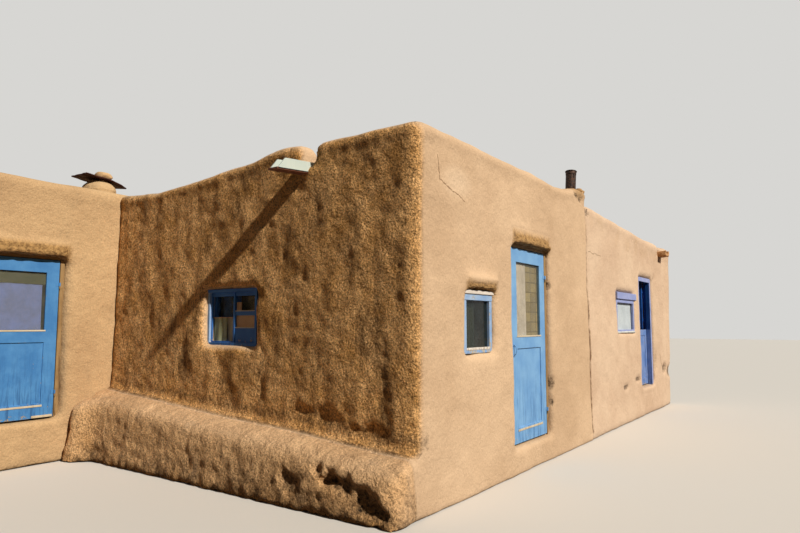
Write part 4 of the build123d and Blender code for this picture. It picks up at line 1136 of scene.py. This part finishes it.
# Stovepipe: rolled sheet steel with a lapped seam and a rolled rim, brown with soot and
# rust, set in a mound of mud and stones on the parapet.
rim_radius = 0.006
flare_radius = 0.004
sooty_steel = worn_iron("sooty_sheet_steel", "#241E1C", "#6A4C3A")
dress_node("stovepipe", sooty_steel)
pipe_points = [vert.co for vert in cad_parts["stovepipe"].data.vertices]
pipe_high = max(point.z for point in pipe_points)
pipe_low = min(point.z for point in pipe_points)
top_ring = [point for point in pipe_points if point.z > pipe_high - 0.03]
foot_ring = [point for point in pipe_points if point.z < pipe_low + 0.03]
pipe_top = sum(top_ring, Vector()) / len(top_ring)
pipe_foot = sum(foot_ring, Vector()) / len(foot_ring)
pipe_radius = (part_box("stovepipe")[1].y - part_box("stovepipe")[0].y) / 2
upright = (pipe_top - pipe_foot).normalized()
lean = Matrix.Translation(pipe_top) @ Vector((0, 0, 1)).rotation_difference(upright).to_matrix().to_4x4()


def spun_round(shape, edges):
    """Carries a profile once round the pipe."""
    bmesh.ops.spin(
        shape, geom=edges, cent=(0, 0, 0), axis=(0, 0, 1), angle=2 * pi, steps=40, use_merge=True,
        use_duplicate=False,
    )


shape = bmesh.new()
rim = upright_ring(shape, 10, rim_radius)
bmesh.ops.translate(shape, verts=rim, vec=(pipe_radius + 0.004, 0, 0.048))
spun_round(shape, shape.edges[:])
bmesh.ops.remove_doubles(shape, verts=shape.verts, dist=0.0001)
seam = bmesh.ops.create_cube(shape, size=1.0)["verts"]
bmesh.ops.scale(shape, vec=(0.018, 0.006, 0.24), verts=seam)
bmesh.ops.translate(shape, vec=(0, -pipe_radius - 0.001, -0.125), verts=seam)
turned(shape, seam, radians(-38), "Z")
flare = upright_ring(shape, 6, flare_radius)
bmesh.ops.scale(shape, vec=(0.6, 1.0, 7.5), verts=flare)
turned(shape, flare, radians(3), "Y")
bmesh.ops.translate(shape, verts=flare, vec=(pipe_radius + 0.001, 0, 0.022))
spun_round(shape, [edge for edge in shape.edges if edge.verts[0] in flare])
bmesh.ops.transform(shape, matrix=lean, verts=shape.verts)
bmesh.ops.remove_doubles(shape, verts=shape.verts, dist=0.0001)
bmesh.ops.recalc_face_normals(shape, faces=shape.faces)
finish_piece("stovepipe_rim_and_seam", shape, sooty_steel, "house", smooth=True)

# The stones that show in the mound round the pipe's foot, each with its place from the
# pipe's top, its size and its own seed
collar = [
    ((0.00, -0.10, -0.215), (0.13, 0.09, 0.06), 1.0), ((0.11, -0.07, -0.215), (0.14, 0.11, 0.07), 2.0),
    ((-0.11, -0.05, -0.225), (0.10, 0.09, 0.05), 3.0), ((0.17, 0.04, -0.205), (0.17, 0.14, 0.08), 4.0),
    ((-0.05, 0.10, -0.215), (0.12, 0.09, 0.06), 5.0), ((0.08, 0.11, -0.210), (0.13, 0.10, 0.07), 6.0),
]
shape = bmesh.new()
for offset, size, seed in collar:
    field_stone(shape, pipe_top + Vector(offset), size, seed)
mud_stone = sandstone("mud_stained_stone", "#C79F70", "#8E6A42")
finish_piece("stovepipe_collar_stones", shape, mud_stone, "house", smooth=True)

# Spout of the right range: a long flat stone and mud, broken at its end, that throws the
# roof's water clear of the wall.
lip_shortened = 0.55
lip_lifted = 0.05


def lip_marks(here, normal):
    """No marks, because the stone's own finish shows none of them."""
    return {}


def lip_relief(here, normal, coarse):
    """Broken, layered faces."""
    return noise.noise(here * 12.0) * 0.010 + noise.noise(here * 30.0) * 0.004


stone_lip, lip_shape = one_mass("annex_stone_spout", ["annex_canale"], 0.011, 3)
for vert in lip_shape.verts:
    out = max(0.0, near_corner.y - vert.co.y)
    vert.co += Vector((0, lip_shortened * out, lip_lifted * out))
orange_stone = sandstone("orange_sandstone", "#CFA273", "#A4744A")
worn_by_hand(stone_lip, lip_shape, ["annex_canale"], orange_stone, lip_relief, lip_marks)

# Head board of the small window: a pale split board, pushed under the brow on top of the
# frame, with the white of old putty along the sill.
low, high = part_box("small_window_frame")
strip(
    "small_window_head_board", (low.x - 0.008, low.y - 0.018, high.z - 0.016),
    (high.x + 0.015, low.y + 0.030, high.z + 0.018), white_pine, "house", "pale_blue_paint", 0.005,
)
strip(
    "small_window_top_board", (low.x + 0.004, low.y - 0.006, small_glass[1].z - 0.030),
    (high.x - 0.004, low.y + 0.020, high.z - 0.018), pale_blue, "house", "pale_blue_paint", 0.004,
)
strip(
    "small_window_sill_putty", (low.x + 0.045, low.y - 0.004, small_glass[0].z - 0.012),
    (high.x - 0.045, low.y + 0.016, small_glass[0].z + 0.010), white_pine, "house", "pale_blue_paint", 0.004,
)

# Head board of the right range's window: a lilac plank wider than the frame, nailed over
# it, and the crumbled white plaster along the sill.
low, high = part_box("annex_window_frame")
strip(
    "annex_window_head_board", (low.x - 0.01, low.y - 0.024, annex_glass[1].z + 0.045),
    (high.x + 0.075, low.y + 0.010, high.z - 0.004), lintel_lilac, "house", "violet_blue_paint", 0.005,
)
shape = bmesh.new()
crumb_x = low.x + 0.03
crumb = 0
while crumb_x < high.x - 0.02:
    wide = 0.045 + 0.025 * noise.noise(Vector((crumb * 1.7, 3.0, 0.0)))
    tall = 0.030 + 0.016 * noise.noise(Vector((crumb * 2.3, 9.0, 0.0)))
    field_stone(shape, (crumb_x, low.y - 0.004, low.z + 0.012), (wide, 0.030, tall), crumb + 1.0)
    crumb_x += wide * 0.8
    crumb += 1
white_plaster = sandstone("crumbled_white_plaster", "#DDDCD4", "#B4B2AC")
finish_piece("annex_window_sill_plaster", shape, white_plaster, "house", smooth=True)

low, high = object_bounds()
